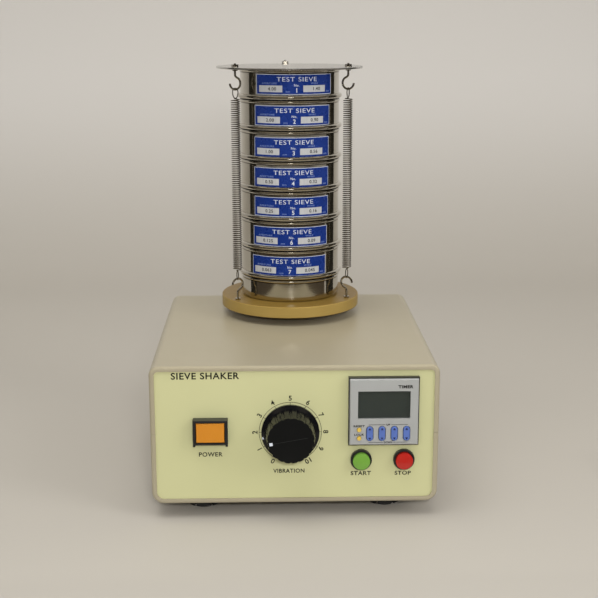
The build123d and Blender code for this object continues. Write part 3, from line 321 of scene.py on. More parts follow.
madeFinishes = {
    # Paint
    "paint": clouded("casePaint", (0.385, 0.342, 0.242), (0.36, 0.318, 0.222), 0.33,
                     cloud=14, spread=0.05, grain=1400, depth=0.00005, specular_ior_level=0.45),
    "panel": clouded("panelPaint", (0.578, 0.574, 0.318), (0.55, 0.545, 0.295), 0.3,
                     cloud=10, spread=0.04, grain=1100, depth=0.00002, specular_ior_level=0.4),

    # Metal
    "steel": spunSteel(),
    "plate": rolledPlate(),
    "nickel": clouded("nickelPlate", (0.56, 0.54, 0.50), (0.40, 0.375, 0.33), 0.1,
                      cloud=160, spread=0.08, grain=2600, depth=0.00001, metallic=1.0),
    "wire": clouded("drawnWire", (0.40, 0.38, 0.35), (0.30, 0.28, 0.25), 0.22,
                    cloud=240, spread=0.08, grain=2600, depth=0.00001, metallic=1.0),
    "turned": clouded("turnedSteel", (0.55, 0.55, 0.54), (0.45, 0.45, 0.44), 0.3,
                      cloud=60, spread=0.08, grain=1500, depth=0.00001, stretch=(1, 4, 1), metallic=1.0),
    "cast": clouded("castAlloy", (0.42, 0.42, 0.41), (0.32, 0.32, 0.31), 0.5,
                    cloud=80, spread=0.1, grain=1200, depth=0.00008, metallic=0.9),
    "cloth": wireCloth(),

    # Resin, rubber and mouldings
    "resin": resinBoard(),
    "rubber": clouded("footRubber", (0.02, 0.02, 0.021), (0.035, 0.035, 0.036), 0.62,
                      cloud=90, spread=0.08, grain=1600, depth=0.00006),
    "black": clouded("blackMoulding", (0.014, 0.014, 0.015), (0.022, 0.022, 0.023), 0.34,
                     cloud=60, spread=0.06, grain=2400, depth=0.00003),
    "knob": knobMoulding(),
    "orange": cap("orangeCap", (0.63, 0.245, 0.017), (0.57, 0.205, 0.014), 0.34),
    "green": cap("greenCap", (0.17, 0.37, 0.05), (0.14, 0.32, 0.04), 0.3),
    "red": cap("redCap", (0.47, 0.015, 0.008), (0.40, 0.011, 0.007), 0.3),

    # The timer; its display is off
    "grey": clouded("timerGrey", (0.37, 0.377, 0.367), (0.345, 0.352, 0.345), 0.42,
                    cloud=50, spread=0.05, grain=2200, depth=0.00003),
    "blue": clouded("keyBlue", (0.11, 0.18, 0.50), (0.075, 0.13, 0.38), 0.36,
                    cloud=120, spread=0.04, grain=2200, depth=0.00002),
    "yellow": clouded("keyYellow", (0.72, 0.50, 0.09), (0.64, 0.44, 0.08), 0.36,
                      cloud=120, spread=0.04, grain=2200, depth=0.00002),
    "pane": windowPane(),
    "display": clouded("displayFilm", (0.075, 0.09, 0.078), (0.066, 0.08, 0.069), 0.3,
                       cloud=70, spread=0.03, grain=1500, depth=0.00001),

    # Inside the case
    "board": circuitBoard(),
    "winding": layered("copperWinding", (0.62, 0.23, 0.07), 0.32, "Z", 0.0009,
                       (0.35, 0.11, 0.03), (0.70, 0.28, 0.09), 0.0002),
    "stack": layered("coreSheets", (0.25, 0.25, 0.26), 0.45, "Y", 0.001,
                     (0.12, 0.11, 0.10), (0.30, 0.30, 0.31), 0.0001),

    # Prints, the sieves' plates and the screws' recesses
    "ink": ink("darkInk", (0.010, 0.010, 0.008), (0.018, 0.018, 0.014), 0.5, 500, specular_ior_level=0.2),
    "white": ink("paleInkAndHighlight", (0.66, 0.70, 0.76), (0.56, 0.60, 0.68), 0.4, 400),
    "dim": ink("dimInk", (0.20, 0.28, 0.55), (0.15, 0.22, 0.48), 0.4, 400),
    "navy": ink("blueMark", (0.006, 0.008, 0.05), (0.01, 0.013, 0.07), 0.45, 400),
    "foil": clouded("blueFoil", (0.010, 0.05, 0.33), (0.007, 0.034, 0.25), 0.27, cloud=90, spread=0.06,
                    grain=2200, depth=0.00001, metallic=0.35, coat_weight=0.4, coat_roughness=0.14),
    "silver": silverField(),
    "faint": ink("faintLine", (0.014, 0.015, 0.015), (0.02, 0.021, 0.021), 0.3, 500),
    "slot": ink("slotShade", (0.03, 0.029, 0.027), (0.05, 0.048, 0.044), 0.5, 500, metallic=0.6),
}
finishes = {key: finish.material for key, finish in madeFinishes.items()}
print("finishes made:", len(finishes))


def numbered(name, count):
    return tuple(f"{name}_{i + 1}" for i in range(count))


# Which finish each frame node takes
nodeFinishes = {
    "paint": ("upper_cover", "lower_cover", "rear_panel"),
    "panel": ("front_panel",),
    "nickel": ("case_screws", "potentiometer_nut", "panel_nuts", "table_screws", "hook_nuts",
               "upper_hooks", "lower_hooks"),
    "wire": ("hold_down_springs",),
    "rubber": ("rubber_feet", "rubber_springs"),
    "black": ("power_switch_housing", "potentiometer_body", "start_button_housing", "stop_button_housing",
              "timer_body", "timer_clamp", "mains_inlet", "fuse_holder"),
    "knob": ("knob",),
    "orange": ("power_switch_button",),
    "green": ("start_button_cap",),
    "red": ("stop_button_cap",),
    "turned": ("potentiometer_shaft",),
    "grey": ("timer_front",),
    "pane": ("timer_window",),
    "display": ("timer_display",),
    "blue": numbered("timer_key", keyCount),
    "yellow": ("timer_reset_key", "timer_lock_key"),
    "board": ("control_board",),
    "cast": ("drive_base", "carrier_plate", "drive_column"),
    "stack": ("armature", "magnet_core"),
    "winding": ("magnet_coil",),
    "steel": numbered("sieve_frame", sieveCount) + ("receiver_pan",),
    "cloth": numbered("sieve_mesh", sieveCount),
    "resin": ("table_disc",),
    "plate": ("clamp_plate",),
}
for key, names in nodeFinishes.items():
    for name in names:
        for place in cadNodes[name].material_slots:
            place.material = finishes[key]
print("frame nodes finished:", sum(len(names) for names in nodeFinishes.values()), "of", len(cadNodes))


def meshFrom(shape, name):
    mesh = bpy.data.meshes.new(name)
    shape.to_mesh(mesh)
    shape.free()
    return mesh


# Joins loose meshes into one piece that rides on a body
def gather(name, meshes, key, body=None):
    shape = bmesh.new()
    for mesh in meshes:
        shape.from_mesh(mesh)
        bpy.data.meshes.remove(mesh)
    whole = meshFrom(shape, name)
    whole.materials.clear()
    whole.materials.append(finishes[key])
    piece = bpy.data.objects.new(name, whole)
    bpy.context.collection.objects.link(piece)
    if body:
        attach(piece, body)
    return piece


# A word or number as a thin mesh in the XY plane, its middle at the origin. It keeps the
# letters' own width unless one is given, and weight thickens their strokes.
def wordMesh(text, height, width=None, depth=0.06, weight=0.2):
    curve = bpy.data.curves.new("word", "FONT")
    curve.body, curve.size, curve.resolution_u = text, 10.0, 4
    curve.extrude, curve.offset, curve.space_character = 0.05, weight, 1.1
    holder = bpy.data.objects.new("word", curve)
    bpy.context.collection.objects.link(holder)
    mesh = bpy.data.meshes.new_from_object(holder.evaluated_get(depsgraph()))
    bpy.data.objects.remove(holder)
    bpy.data.curves.remove(curve)
    low = [min(v.co[i] for v in mesh.vertices) for i in range(3)]
    high = [max(v.co[i] for v in mesh.vertices) for i in range(3)]
    up = height / (high[1] - low[1])
    across = width / (high[0] - low[0]) if width else up
    thick = depth / (high[2] - low[2])
    middle = Vector([(a + b) / 2 for a, b in zip(low, high)])
    mesh.transform(Matrix.Diagonal((across, up, thick, 1)) @ Matrix.Translation(-middle))
    return mesh


def barMesh(width, height, depth=0.06):
    shape = bmesh.new()
    bmesh.ops.create_cube(shape, size=1, matrix=Matrix.Diagonal((width, height, depth, 1)))
    return meshFrom(shape, "bar")


# A flat plate cut into strips along its length, so that it can bend
def plateMesh(width, height, depth, cuts):
    shape = bmesh.new()
    rows = [[[shape.verts.new((width * (i / cuts - 0.5), height * (j - 0.5), depth * (k - 0.5)))
              for k in (0, 1)] for j in (0, 1)] for i in range(cuts + 1)]
    around = ((0, 1), (1, 1), (1, 0), (0, 0))
    for a, b in zip(rows, rows[1:]):
        for p, q in zip(around, around[1:] + around[:1]):
            shape.faces.new((a[p[0]][p[1]], b[p[0]][p[1]], b[q[0]][q[1]], a[q[0]][q[1]]))
    for end in (rows[0], rows[-1]):
        shape.faces.new((end[0][0], end[0][1], end[1][1], end[1][0]))
    bmesh.ops.recalc_face_normals(shape, faces=shape.faces)
    return meshFrom(shape, "plate")


# Sets a flat mesh, drawn in millimetres, on a face that looks at the user
def facing(mesh, x, y, z, turn=0.0):
    upright = Matrix.Rotation(radians(90), 4, "X") @ Matrix.Rotation(radians(turn), 4, "Z")
    mesh.transform(Matrix.Scale(0.001, 4) @ Matrix.Translation((x, y, z)) @ upright)
    return mesh


# Bends a flat mesh round the sieves' wall: its X becomes the way round, its Z the lift
def wrapped(mesh, turn, z, lift):
    for v in mesh.vertices:
        angle = turn + v.co.x / wallRadius
        reach = wallRadius + lift + v.co.z
        v.co = mm(reach * sin(angle), stackY - reach * cos(angle), z + v.co.y)
    mesh.update()
    return mesh


# Grows a mesh from a Geometry Nodes tree on a start object, with the tree's inputs set by name
def grow(build, start, values):
    tree = bpy.data.node_groups.new(build.__name__, "GeometryNodeTree")
    tree.interface.new_socket("Geometry", in_out="INPUT", socket_type="NodeSocketGeometry")
    kinds = {float: "NodeSocketFloat", int: "NodeSocketInt", bpy.types.Material: "NodeSocketMaterial"}
    for name, value in values.items():
        tree.interface.new_socket(name, in_out="INPUT", socket_type=kinds[type(value)])
    tree.interface.new_socket("Geometry", in_out="OUTPUT", socket_type="NodeSocketGeometry")
    graph = Graph(tree)
    given = graph.node("NodeGroupInput")
    real = graph.node("GeometryNodeRealizeInstances", inputs=[build(graph, given)])
    painted = graph.node("GeometryNodeSetMaterial", inputs={
        "Geometry": real, "Material": given.out("Material")})
    tree.links.new(painted.socket, tree.nodes.new("NodeGroupOutput").inputs[0])
    bpy.context.collection.objects.link(start)
    growth = start.modifiers.new("growth", "NODES")
    growth.node_group = tree
    for item in tree.interface.items_tree:
        if item.in_out == "INPUT" and item.name in values:
            growth[item.identifier] = values[item.name]
    mesh = bpy.data.meshes.new_from_object(start.evaluated_get(depsgraph()))
    start.modifiers.remove(growth)
    bpy.data.objects.remove(start)
    return mesh


def joined(graph, parts):
    join = graph.tree.nodes.new("GeometryNodeJoinGeometry")
    for part in parts:
        graph.tree.links.new(part.socket, join.inputs[0])
    return Tap(graph, join.outputs[0])


# What a tree grows on: bare points, or open lines
def pointsObject(name, points):
    mesh = bpy.data.meshes.new(name)
    mesh.from_pydata([mm(*p) for p in points], [], [])
    return bpy.data.objects.new(name, mesh)


def lineObject(name, lines):
    curve = bpy.data.curves.new(name, "CURVE")
    curve.dimensions = "3D"
    for points in lines:
        spline = curve.splines.new("POLY")
        spline.points.add(len(points) - 1)
        for point, place in zip(spline.points, points):
            point.co = (*mm(*place), 1)
    return bpy.data.objects.new(name, curve)


# Hold-down springs: a coil with a loop turned up at each end. The loops of the three
# springs hang at their own angles in the hooks, in degrees.
springSizes = {"wire": 0.8, "wireSides": 7, "coilRadius": 3.25, "pitch": 1.6, "low": 147.6, "high": 279.3,
               "stepsPerTurn": 16, "endRadiusShare": 0.25, "endTurns": 0.5,
               "loopWidth": 2.2, "loopHeight": 3.75, "loopSteps": 28, "loopOverlap": 0.2,
               "loopStart": 0.04, "loopSpan": 0.92, "loopTaper": 0.12,
               "upperLoopTurns": (35.0, 0.0, 0.0), "lowerLoopTurns": (-15.0, 0.0, 0.0)}


# The points along one spring's wire, from its lower loop to its upper one
def springLine(angle, upperTurn, lowerTurn, s=springSizes):
    x, y = hookCircle * cos(radians(angle)), stackY + hookCircle * sin(radians(angle))

    def loop(base, up, turn):
        heading = radians(angle + 90 + turn)
        centre = base + up * s["loopHeight"]
        for i in range(s["loopSteps"] + 1):
            a = tau * (s["loopStart"] + s["loopSpan"] * i / s["loopSteps"])
            wide = s["loopWidth"] * sin(a) * (1.0 - s["loopTaper"] * cos(a))
            yield (x + wide * cos(heading), y + wide * sin(heading), centre - up * s["loopHeight"] * cos(a))

    length = s["high"] - s["low"] - s["wire"]
    turns = length / s["pitch"]
    count = round(turns * s["stepsPerTurn"])
    coil = []
    for i in range(count + 1):
        a = tau * turns * i / count + radians(angle)
        fade = min(i, count - i) / (s["stepsPerTurn"] * s["endTurns"])
        share = min(1.0, s["endRadiusShare"] + (1 - s["endRadiusShare"]) * fade)
        reach = s["coilRadius"] * share
        coil.append((x + reach * cos(a), y + reach * sin(a), s["low"] + s["wire"] / 2 + length * i / count))
    bottom = list(loop(s["low"] + s["loopOverlap"], -1, lowerTurn))
    top = list(loop(s["high"] - s["loopOverlap"], 1, upperTurn))
    return bottom[::-1] + coil + top


def wireAlong(graph, given):
    ring = graph.node("GeometryNodeCurvePrimitiveCircle", inputs={
        "Resolution": given.out("Sides"), "Radius": given.out("Wire radius")})
    tube = graph.node("GeometryNodeCurveToMesh", inputs={
        "Curve": given.out("Geometry"), "Profile Curve": ring, "Fill Caps": True})
    return graph.node("GeometryNodeSetShadeSmooth", inputs={"Geometry": tube})


def windSprings(s=springSizes):
    lines = [springLine(*each) for each in zip(hookAngles, s["upperLoopTurns"], s["lowerLoopTurns"])]
    mesh = grow(wireAlong, lineObject("coilLines", lines), {
        "Sides": s["wireSides"], "Wire radius": s["wire"] / 2000, "Material": finishes["wire"]})
    coils = gather("holdDownCoils", [mesh], "wire")
    for face in coils.data.polygons:
        face.use_smooth = True
    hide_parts("hold_down_springs")
    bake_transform(coils)
    print("springs wound:", len(coils.data.polygons), "faces")


windSprings()

# Sieve plates: a blue foil with a pale line round it, generic words and plain numbers. Each
# is turned by its own angle in degrees and slipped up or down in millimetres, top one first.
plateSizes = {"width": 62.4, "height": 14.9, "rise": 4.5, "thickness": 0.22, "sunk": 0.02, "strips": 40,
              "border": 0.35, "borderInset": 0.25, "borderDepth": 0.05,
              "wordDepth": 0.1, "fieldX": (-19.2, 15.0), "fieldUp": -3.2, "fieldWidth": 18.6,
              "fieldHeight": 4.9, "fieldDepth": 0.08, "fieldStrips": 14,
              "numberHeight": 2.5, "numberWeight": 0.12, "numberShift": 1.5, "numberLift": 0.09,
              "turns": (5.7, 3.0, 2.1, 1.5, 1.4, -0.45, -2.5),
              "slips": (0.0, -0.2, -1.0, -1.0, -0.5, -0.6, -0.8),
              "apertures": ("4.00", "2.00", "1.00", "0.50", "0.25", "0.125", "0.063"),
              "wires": ("1.40", "0.90", "0.56", "0.32", "0.16", "0.09", "0.045")}

# The words on a plate: brightness, text, height, width, weight, place along and up, lift
plateWords = (
    ("bright", "TEST SIEVE", 3.2, 30.5, -0.03, 1.2, 3.8, 0.06),
    ("dull", "APERTURE", 1.25, 12.0, 0.05, -20.0, 0.75, 0.06),
    ("dull", "WIRE", 1.25, 6.2, 0.05, 14.6, 0.75, 0.04),
    ("bright", "No.", 1.8, None, 0.1, 0.8, -0.6, 0.04),
    ("bright", "{place}", 3.3, None, 0.15, 0.8, -4.2, 0.04),
    ("dull", "mm", 1.0, None, 0.05, -5.8, -5.4, 0.02),
    ("dull", "mm", 1.0, None, 0.05, 27.0, -5.4, 0.02),
)


def platePieces(s=plateSizes):
    foils, fields, numbers = [], [], []
    words = {"bright": [], "dull": []}
    lift = s["thickness"]
    for index, (turn, slip) in enumerate(zip(s["turns"], s["slips"])):
        belowCount = sieveCount - 1 - index
        middle = firstContactZ + sievePitch * belowCount + s["rise"] + s["height"] / 2 + slip

        def put(where, mesh, along, up, raised):
            mesh.transform(Matrix.Translation((along, up, 0)))
            where.append(wrapped(mesh, radians(turn), middle, raised))

        foil = plateMesh(s["width"], s["height"], lift, s["strips"])
        put(foils, foil, 0, 0, lift / 2 - s["sunk"])
        flat, tall = s["width"] / 2 - s["borderInset"], s["height"] / 2 - s["borderInset"]
        for up in (-tall, tall):
            line = plateMesh(2 * flat, s["border"], s["borderDepth"], s["strips"])
            put(words["bright"], line, 0, up, lift)
        for along in (-flat, flat):
            put(words["bright"], plateMesh(s["border"], 2 * tall, s["borderDepth"], 2), along, 0, lift)
        for tone, text, height, width, weight, along, up, raised in plateWords:
            word = wordMesh(text.format(place=index + 1), height, width, s["wordDepth"], weight)
            put(words[tone], word, along, up, lift + raised)
        for along, text in zip(s["fieldX"], (s["apertures"][index], s["wires"][index])):
            field = plateMesh(s["fieldWidth"], s["fieldHeight"], s["fieldDepth"], s["fieldStrips"])
            put(fields, field, along, s["fieldUp"], lift)
            number = wordMesh(text, s["numberHeight"], depth=s["fieldDepth"], weight=s["numberWeight"])
            put(numbers, number, along + s["numberShift"], s["fieldUp"], lift + s["numberLift"])
    gather("sievePlates", foils, "foil", "table")
    gather("sievePlateLines", words["bright"], "white", "table")
    gather("sievePlateCaptions", words["dull"], "dim", "table")
    gather("sievePlateFields", fields, "silver", "table")
    gather("sievePlateNumbers", numbers, "ink", "table")


platePieces()
print("sieve plates on")

# Front panel: generic words and the knob's scale, whose ticks run inwards from its line
panelSizes = {"printLift": 0.04, "printDepth": 0.06, "numberRadius": 24.2, "numberHeight": 3.6,
              "scaleRadius": 21.3, "tickLength": 1.7, "lineWidth": 0.3,
              "lowest": -150.0, "step": 30.0, "count": 11}

# The words on the panel: text, X, Z, height, width
panelWords = (
    ("POWER", -57.6, 46.6, 3.2, 16.2),
    ("VIBRATION", -4.2, 34.1, 3.0, 21.5),
    ("START", 45.4, 31.8, 3.0, 14.0),
    ("STOP", 74.4, 31.7, 2.9, 11.2),
    ("SIEVE SHAKER", -60.5, 102.6, 4.8, 46.0),
)


def dialScale(graph, given):
    arc = graph.node("GeometryNodeCurveArc", {"mode": "RADIUS"}, {
        "Resolution": 90, "Radius": given.out("Radius"), "Start Angle": given.out("Start"),
        "Sweep Angle": given.out("Sweep")})
    strip = graph.node("GeometryNodeCurvePrimitiveQuadrilateral", {"mode": "RECTANGLE"}, {
        "Width": given.out("Line width"), "Height": given.out("Depth")})
    line = graph.node("GeometryNodeCurveToMesh", inputs={
        "Curve": arc, "Profile Curve": strip, "Fill Caps": True})
    stops = graph.node("GeometryNodeResampleCurve", inputs={"Curve": arc, "Count": given.out("Ticks")})
    heading = graph.node("FunctionNodeAlignRotationToVector", {"axis": "Y"}, {
        "Vector": graph.node("GeometryNodeInputPosition")})
    size = graph.node("ShaderNodeCombineXYZ", inputs=[
        given.out("Line width"), given.out("Tick length"), given.out("Depth")])
    tick = graph.node("GeometryNodeMeshCube", inputs={"Size": size})
    inwards = graph.node("ShaderNodeCombineXYZ", inputs=[0, given.out("Tick length") * -0.5, 0])
    moved = graph.node("GeometryNodeTransform", inputs={"Geometry": tick, "Translation": inwards})
    ticks = graph.node("GeometryNodeInstanceOnPoints", inputs={
        "Points": graph.node("GeometryNodeCurveToPoints", {"mode": "EVALUATED"}, {"Curve": stops}),
        "Instance": moved, "Rotation": heading})
    return joined(graph, (line, ticks))


def panelPrints(s=panelSizes):
    y = panelY - s["printLift"]
    prints = [facing(wordMesh(text, height, width), x, y, z) for text, x, z, height, width in panelWords]
    for i in range(s["count"]):
        turn = s["lowest"] + s["step"] * i
        x = knobX + s["numberRadius"] * sin(radians(turn))
        z = knobZ + s["numberRadius"] * cos(radians(turn))
        prints.append(facing(wordMesh(str(i), s["numberHeight"]), x, y, z, -turn))
    scale = grow(dialScale, pointsObject("scaleStart", [(0, 0, 0)]), {
        "Start": radians(90 - s["lowest"]), "Sweep": -radians(s["step"] * (s["count"] - 1)),
        "Radius": s["scaleRadius"] / 1000, "Line width": s["lineWidth"] / 1000,
        "Tick length": s["tickLength"] / 1000, "Depth": s["printDepth"] / 1000, "Ticks": s["count"],
        "Material": finishes["ink"]})
    scale.transform(Matrix.Scale(1000, 4))
    prints.append(facing(scale, knobX, y, knobZ))
    gather("panelPrints", prints, "ink", "case")


panelPrints()

# Knob marks: a dot and a faint line on the face, and a pale bar on the skirt that is a painted highlight, all
# turned to between 1 and 2
knobMarksAndHighlight = {"turn": -100.0, "dotRadius": 13.5, "dotSize": 2.2, "dotDepth": 0.12, "dotLift": 0.02,
             "lineLength": 23.0, "lineWidth": 0.35, "lineDepth": 0.04, "lineSunk": 0.01,
             "highlightRadius": 18.6, "highlightWidth": 1.3, "highlightHeight": 1.8, "highlightDepth": 0.5,
             "highlightY": -104.3}


def knobPrints(s=knobMarksAndHighlight):
    across, up = sin(radians(s["turn"])), cos(radians(s["turn"]))
    dot = facing(barMesh(s["dotSize"], s["dotSize"], s["dotDepth"]), knobX + s["dotRadius"] * across,
                 knobFaceY - s["dotLift"], knobZ + s["dotRadius"] * up, -s["turn"])
    line = facing(barMesh(s["lineWidth"], s["lineLength"], s["lineDepth"]), knobX,
                  knobFaceY + s["lineSunk"], knobZ, -s["turn"])
    gather("knobLine", [line], "faint", "knob")
    # Painted highlight: a pale bar on the skirt where a streak of light falls on the fluted flank
    index = facing(barMesh(s["highlightWidth"], s["highlightHeight"], s["highlightDepth"]),
                   knobX + s["highlightRadius"] * across, s["highlightY"], knobZ + s["highlightRadius"] * up, -s["turn"])
    gather("knobMarksAndHighlight", [dot, index], "white", "knob")


knobPrints()

# Timer: small generic words, the lines round its keys and the keys' own marks
timerSizes = {"wordLift": 0.06, "markLift": 0.02, "wordX": 43.5, "titleRight": 14.4, "titleUp": 18.0,
              "resetUp": -9.7, "lockUp": -15.8, "groupEnd": 0.8, "groupUp": 6.3, "wordGap": 0.7,
              "lineWidth": 0.26, "markRise": 3.2, "markRadius": 1.1}


def keyMark(radius, depth=0.06):
    shape = bmesh.new()
    bmesh.ops.create_cone(shape, cap_ends=True, segments=3, radius1=radius, radius2=radius, depth=depth)
    return meshFrom(shape, "mark")


def timerPrints(s=timerSizes):
    x, z = middleOf("timer_front", "x"), middleOf("timer_front", "z")
    y = lowOf("timer_front", "y") - s["wordLift"]
    keyNodes = numbered("timer_key", keyCount)
    keyX = [middleOf(node, "x") for node in keyNodes]
    keyZ = middleOf(keyNodes[0], "z")
    keyY = lowOf(keyNodes[0], "y") - s["markLift"]
    prints = [facing(wordMesh("TIMER", 2.2, 10.2, weight=0.4), x + s["titleRight"], y, z + s["titleUp"]),
              facing(wordMesh("RESET", 1.4, 7.6, weight=0.3), s["wordX"], y, z + s["resetUp"]),
              facing(wordMesh("LOCK", 1.4, 6.6, weight=0.3), s["wordX"], y, z + s["lockUp"])]
    left, right = keyX[0] - s["groupEnd"], keyX[-1] + s["groupEnd"]
    for word, width, up in (("UP", 2.6, s["groupUp"]), ("DOWN", 5.6, -s["groupUp"])):
        prints.append(facing(wordMesh(word, 1.3, width, weight=0.3), (left + right) / 2, y, keyZ + up))
        length = (right - left - width) / 2 - s["wordGap"]
        for middle in (left + length / 2, right - length / 2):
            prints.append(facing(barMesh(length, s["lineWidth"]), middle, y, keyZ + up))
    gather("timerPrints", prints, "ink", "case")
    for i, node in enumerate(keyNodes):
        marks = [facing(keyMark(s["markRadius"]), keyX[i], keyY, keyZ + rise, turn)
                 for rise, turn in ((-s["markRise"], 180), (s["markRise"], 0))]
        gather(f"keyMarks{i + 1}", marks, "navy", node)


timerPrints()
print("prints done")

# Cross recesses in the screws' heads, drawn as flat dark crosses of painted shade
screwSizes = {"length": 3.4, "width": 0.8, "depth": 0.08, "spin": 0.4, "sideZ": 66.4, "footX": 64.3,
              "rowY": (-70.5, 78.5), "inletReach": 20.0}


def crossRecess(graph, given):
    arms = []
    for first, second in (("Length", "Width"), ("Width", "Length")):
        size = graph.node("ShaderNodeCombineXYZ", inputs=[
            given.out(first), given.out(second), given.out("Depth")])
        arm = graph.node("GeometryNodeMeshCube", inputs={"Size": size})
        spin = graph.node("ShaderNodeCombineXYZ", inputs=[0, 0, given.out("Spin")])
        arms.append(graph.node("GeometryNodeTransform", inputs={"Geometry": arm, "Rotation": spin}))
    tilt = graph.node("ShaderNodeCombineXYZ", inputs=[given.out("Tilt"), given.out("Lean"), 0])
    return graph.node("GeometryNodeInstanceOnPoints", inputs={
        "Points": given.out("Geometry"), "Instance": joined(graph, arms),
        "Rotation": graph.node("FunctionNodeEulerToRotation", inputs=[tilt])})


def screwRecesses(s=screwSizes):
    sideX, underZ = highOf("case_screws", "x"), lowOf("case_screws", "z")
    rearY = highOf("case_screws", "y")
    inletX, inletZ = middleOf("mains_inlet", "x"), middleOf("mains_inlet", "z")

    # The points of each group of heads, with their tilt and lean
    groups = (
        ([(side * sideX, y, s["sideZ"]) for side in (-1, 1) for y in s["rowY"]], 0.0, pi / 2),
        ([(side * s["footX"], y, underZ) for side in (-1, 1) for y in s["rowY"]], 0.0, 0.0),
        ([(inletX + side * s["inletReach"], rearY, inletZ) for side in (-1, 1)], pi / 2, 0.0),
    )
    recesses = []
    for points, tilt, lean in groups:
        recesses.append(grow(crossRecess, pointsObject("screwPoints", points), {
            "Length": s["length"] / 1000, "Width": s["width"] / 1000, "Depth": s["depth"] / 1000,
            "Spin": s["spin"], "Tilt": tilt, "Lean": lean, "Material": finishes["slot"]}))
    gather("screwRecesses", recesses, "slot", "case")
    print("screw recesses cut:", sum(len(points) for points, tilt, lean in groups))


screwRecesses()

# The photograph's camera
cameraSizes = {"place": (-17.4, -859.9, 334.1), "right": (1.0, -0.027, -0.001), "up": (0.007, 0.229, 0.973),
               "lens": 70.63, "sensor": 36.0}


def addCamera(s=cameraSizes):
    data = bpy.data.cameras.new("camera")
    data.lens, data.sensor_width = s["lens"], s["sensor"]
    camera = bpy.data.objects.new("camera", data)
    right, up = Vector(s["right"]).normalized(), Vector(s["up"])
    up = (up - right * up.dot(right)).normalized()
    turned = Matrix((right, up, right.cross(up))).transposed().to_4x4()
    camera.matrix_world = Matrix.Translation(mm(*s["place"])) @ turned
    bpy.context.collection.objects.link(camera)
    bpy.context.scene.camera = camera


addCamera()

# Floor that bends up into a wall, in metres; its tone lightens with height
floorSizes = {"half": 12.0, "near": -4.0, "bendStart": 0.62, "bendRadius": 0.45, "top": 2.6,
              "bendSteps": 15, "toneHeight": 0.12, "toneSoft": 0.3}


def sweepFloor(s=floorSizes):
    line = [(s["near"], 0.0), (s["bendStart"], 0.0)]
    for step in range(1, s["bendSteps"] + 1):
        a = radians(90 / s["bendSteps"] * step)
        line.append((s["bendStart"] + s["bendRadius"] * sin(a), s["bendRadius"] * (1 - cos(a))))
    line.append((s["bendStart"] + s["bendRadius"], s["top"]))
    mesh = bpy.data.meshes.new("floor")
    vertices = [(x, y, z) for y, z in line for x in (-s["half"], s["half"])]
    faces = [(2 * i, 2 * i + 1, 2 * i + 3, 2 * i + 2) for i in range(len(line) - 1)]
    mesh.from_pydata(vertices, [], faces)
    for face in mesh.polygons:
        face.use_smooth = True
    floor = bpy.data.objects.new("floor", mesh)
    bpy.context.collection.objects.link(floor)
    paper = Finish("floorPaper", (0.47, 0.44, 0.39), 0.7)
    high = paper.axes.out("Z").above(s["toneHeight"], s["toneSoft"])
    paper.drive("Base Color", paper.blend(high, (0.47, 0.44, 0.39), (0.66, 0.635, 0.60)))
    paper.drive("Roughness", 0.66 + paper.noise(7, 3.0) * 0.08)
    paper.bump(paper.noise(300, 2.0), 0.00005)
    mesh.materials.append(paper.material)


sweepFloor()


# Cards that only show as reflections: dark ones beside the object and on the floor before and
# beside it, and a glowing one at the flash
darkTone = (0.02, 0.018, 0.012)
roomTone = (0.055, 0.040, 0.024)
flashTone = (1.0, 0.95, 0.85)
cardZ = 1


def reflectionCard(name, corners, colour, glow=0.0):
    mesh = bpy.data.meshes.new(name)
    mesh.from_pydata([mm(*c) for c in corners], [], [(0, 1, 2, 3)])
    card = bpy.data.objects.new(name, mesh)
    paint = Finish(name, colour, 0.9, emission_color=(*colour, 1), emission_strength=glow)
    mesh.materials.append(paint.material)
    bpy.context.collection.objects.link(card)
    card.visible_camera = card.visible_shadow = card.visible_diffuse = False


def sideCard(name, x, near, far, top=600):
    corners = [(x, near, cardZ), (x, near, top), (x, far, top), (x, far, cardZ)]
    reflectionCard(name, corners, darkTone)


def floorCard(name, left, right, near, far):
    corners = [(left, near, cardZ), (right, near, cardZ), (right, far, cardZ), (left, far, cardZ)]
    reflectionCard(name, corners, roomTone)


sideCard("darkCardLeft", -450, 10, 178)
sideCard("darkCardRight", 450, 60, 331)
flashCorners = [(-60, -920, 380), (100, -920, 380), (100, -920, 470), (-60, -920, 470)]
reflectionCard("flashCard", flashCorners, flashTone, glow=7.0)
floorCard("roomFront", -1500, 1500, -1500, -190)
floorCard("roomLeft", -1500, -230, -190, 20)
floorCard("roomRight", 230, 1500, -190, 20)

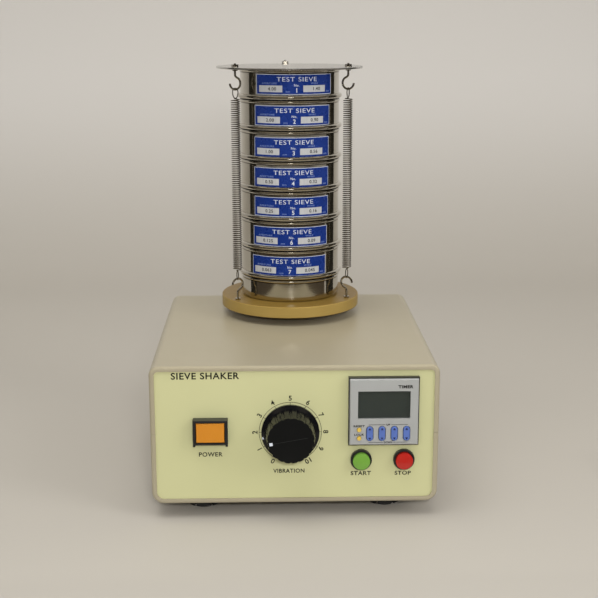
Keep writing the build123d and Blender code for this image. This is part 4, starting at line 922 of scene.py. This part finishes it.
# Soft lights, in metres: place, what each points at, its size, power and colour
softLights = {
    "ceiling": ((-0.25, -0.35, 1.7), (0, 0.05, 0.1), (1.3, 1.1), 15, (1.0, 0.985, 0.95)),
    "window": ((1.3, -0.9, 1.0), (0, 0, 0.15), (0.7, 0.9), 8, (1.0, 0.985, 0.97)),
    "flash": ((0.03, -0.92, 0.42), (0, 0, 0.15), (0.10, 0.06), 3.4, (1, 1, 1)),
}


def addLights():
    for name, (place, target, size, power, colour) in softLights.items():
        lamp = bpy.data.lights.new(name, "AREA")
        lamp.shape, lamp.energy, lamp.color = "RECTANGLE", power, colour
        lamp.size, lamp.size_y = size
        holder = bpy.data.objects.new(name, lamp)
        turned = (Vector(target) - Vector(place)).to_track_quat("-Z", "Y").to_matrix().to_4x4()
        holder.matrix_world = Matrix.Translation(place) @ turned
        holder.visible_glossy = False
        bpy.context.collection.objects.link(holder)


addLights()

# The room all round. In reflections it is dark in front of the object, with a warm strip high
# up, and pale beside and behind it; as light on the object it is one even tone.
roomSizes = {"dark": (0.055, 0.042, 0.03), "strip": (0.95, 0.82, 0.60), "wall": (0.78, 0.76, 0.72),
             "even": (0.66, 0.65, 0.635), "strength": 0.75, "wallStart": 0.15, "wallSoft": 0.5,
             "stripLow": 0.55, "stripHigh": 0.78, "stripSoft": 0.12}


def addRoom(s=roomSizes):
    world = bpy.data.worlds.new("room")
    bpy.context.scene.world = world
    world.use_nodes = True
    sky = Graph(world.node_tree)
    direction = sky.node("ShaderNodeSeparateXYZ", inputs=[sky.node("ShaderNodeTexCoord", output="Generated")])
    beside = direction.out("Y").above(s["wallStart"], s["wallSoft"])
    height = direction.out("Z")
    strip = height.above(s["stripLow"], s["stripSoft"]) * (1 - height.above(s["stripHigh"], s["stripSoft"]))
    front = sky.blend(strip, s["dark"], s["strip"])
    tone = sky.blend(beside, front, s["wall"])
    glossy = sky.node("ShaderNodeLightPath", output="Is Glossy Ray")
    background = world.node_tree.nodes["Background"]
    sky.feed(background.inputs["Color"], sky.blend(glossy, s["even"], tone))
    background.inputs["Strength"].default_value = s["strength"]


addRoom()
bpy.context.scene.view_settings.view_transform = "Standard"
bpy.context.scene.view_settings.look = "None"
print("stage lit")

bpy.context.view_layer.update()
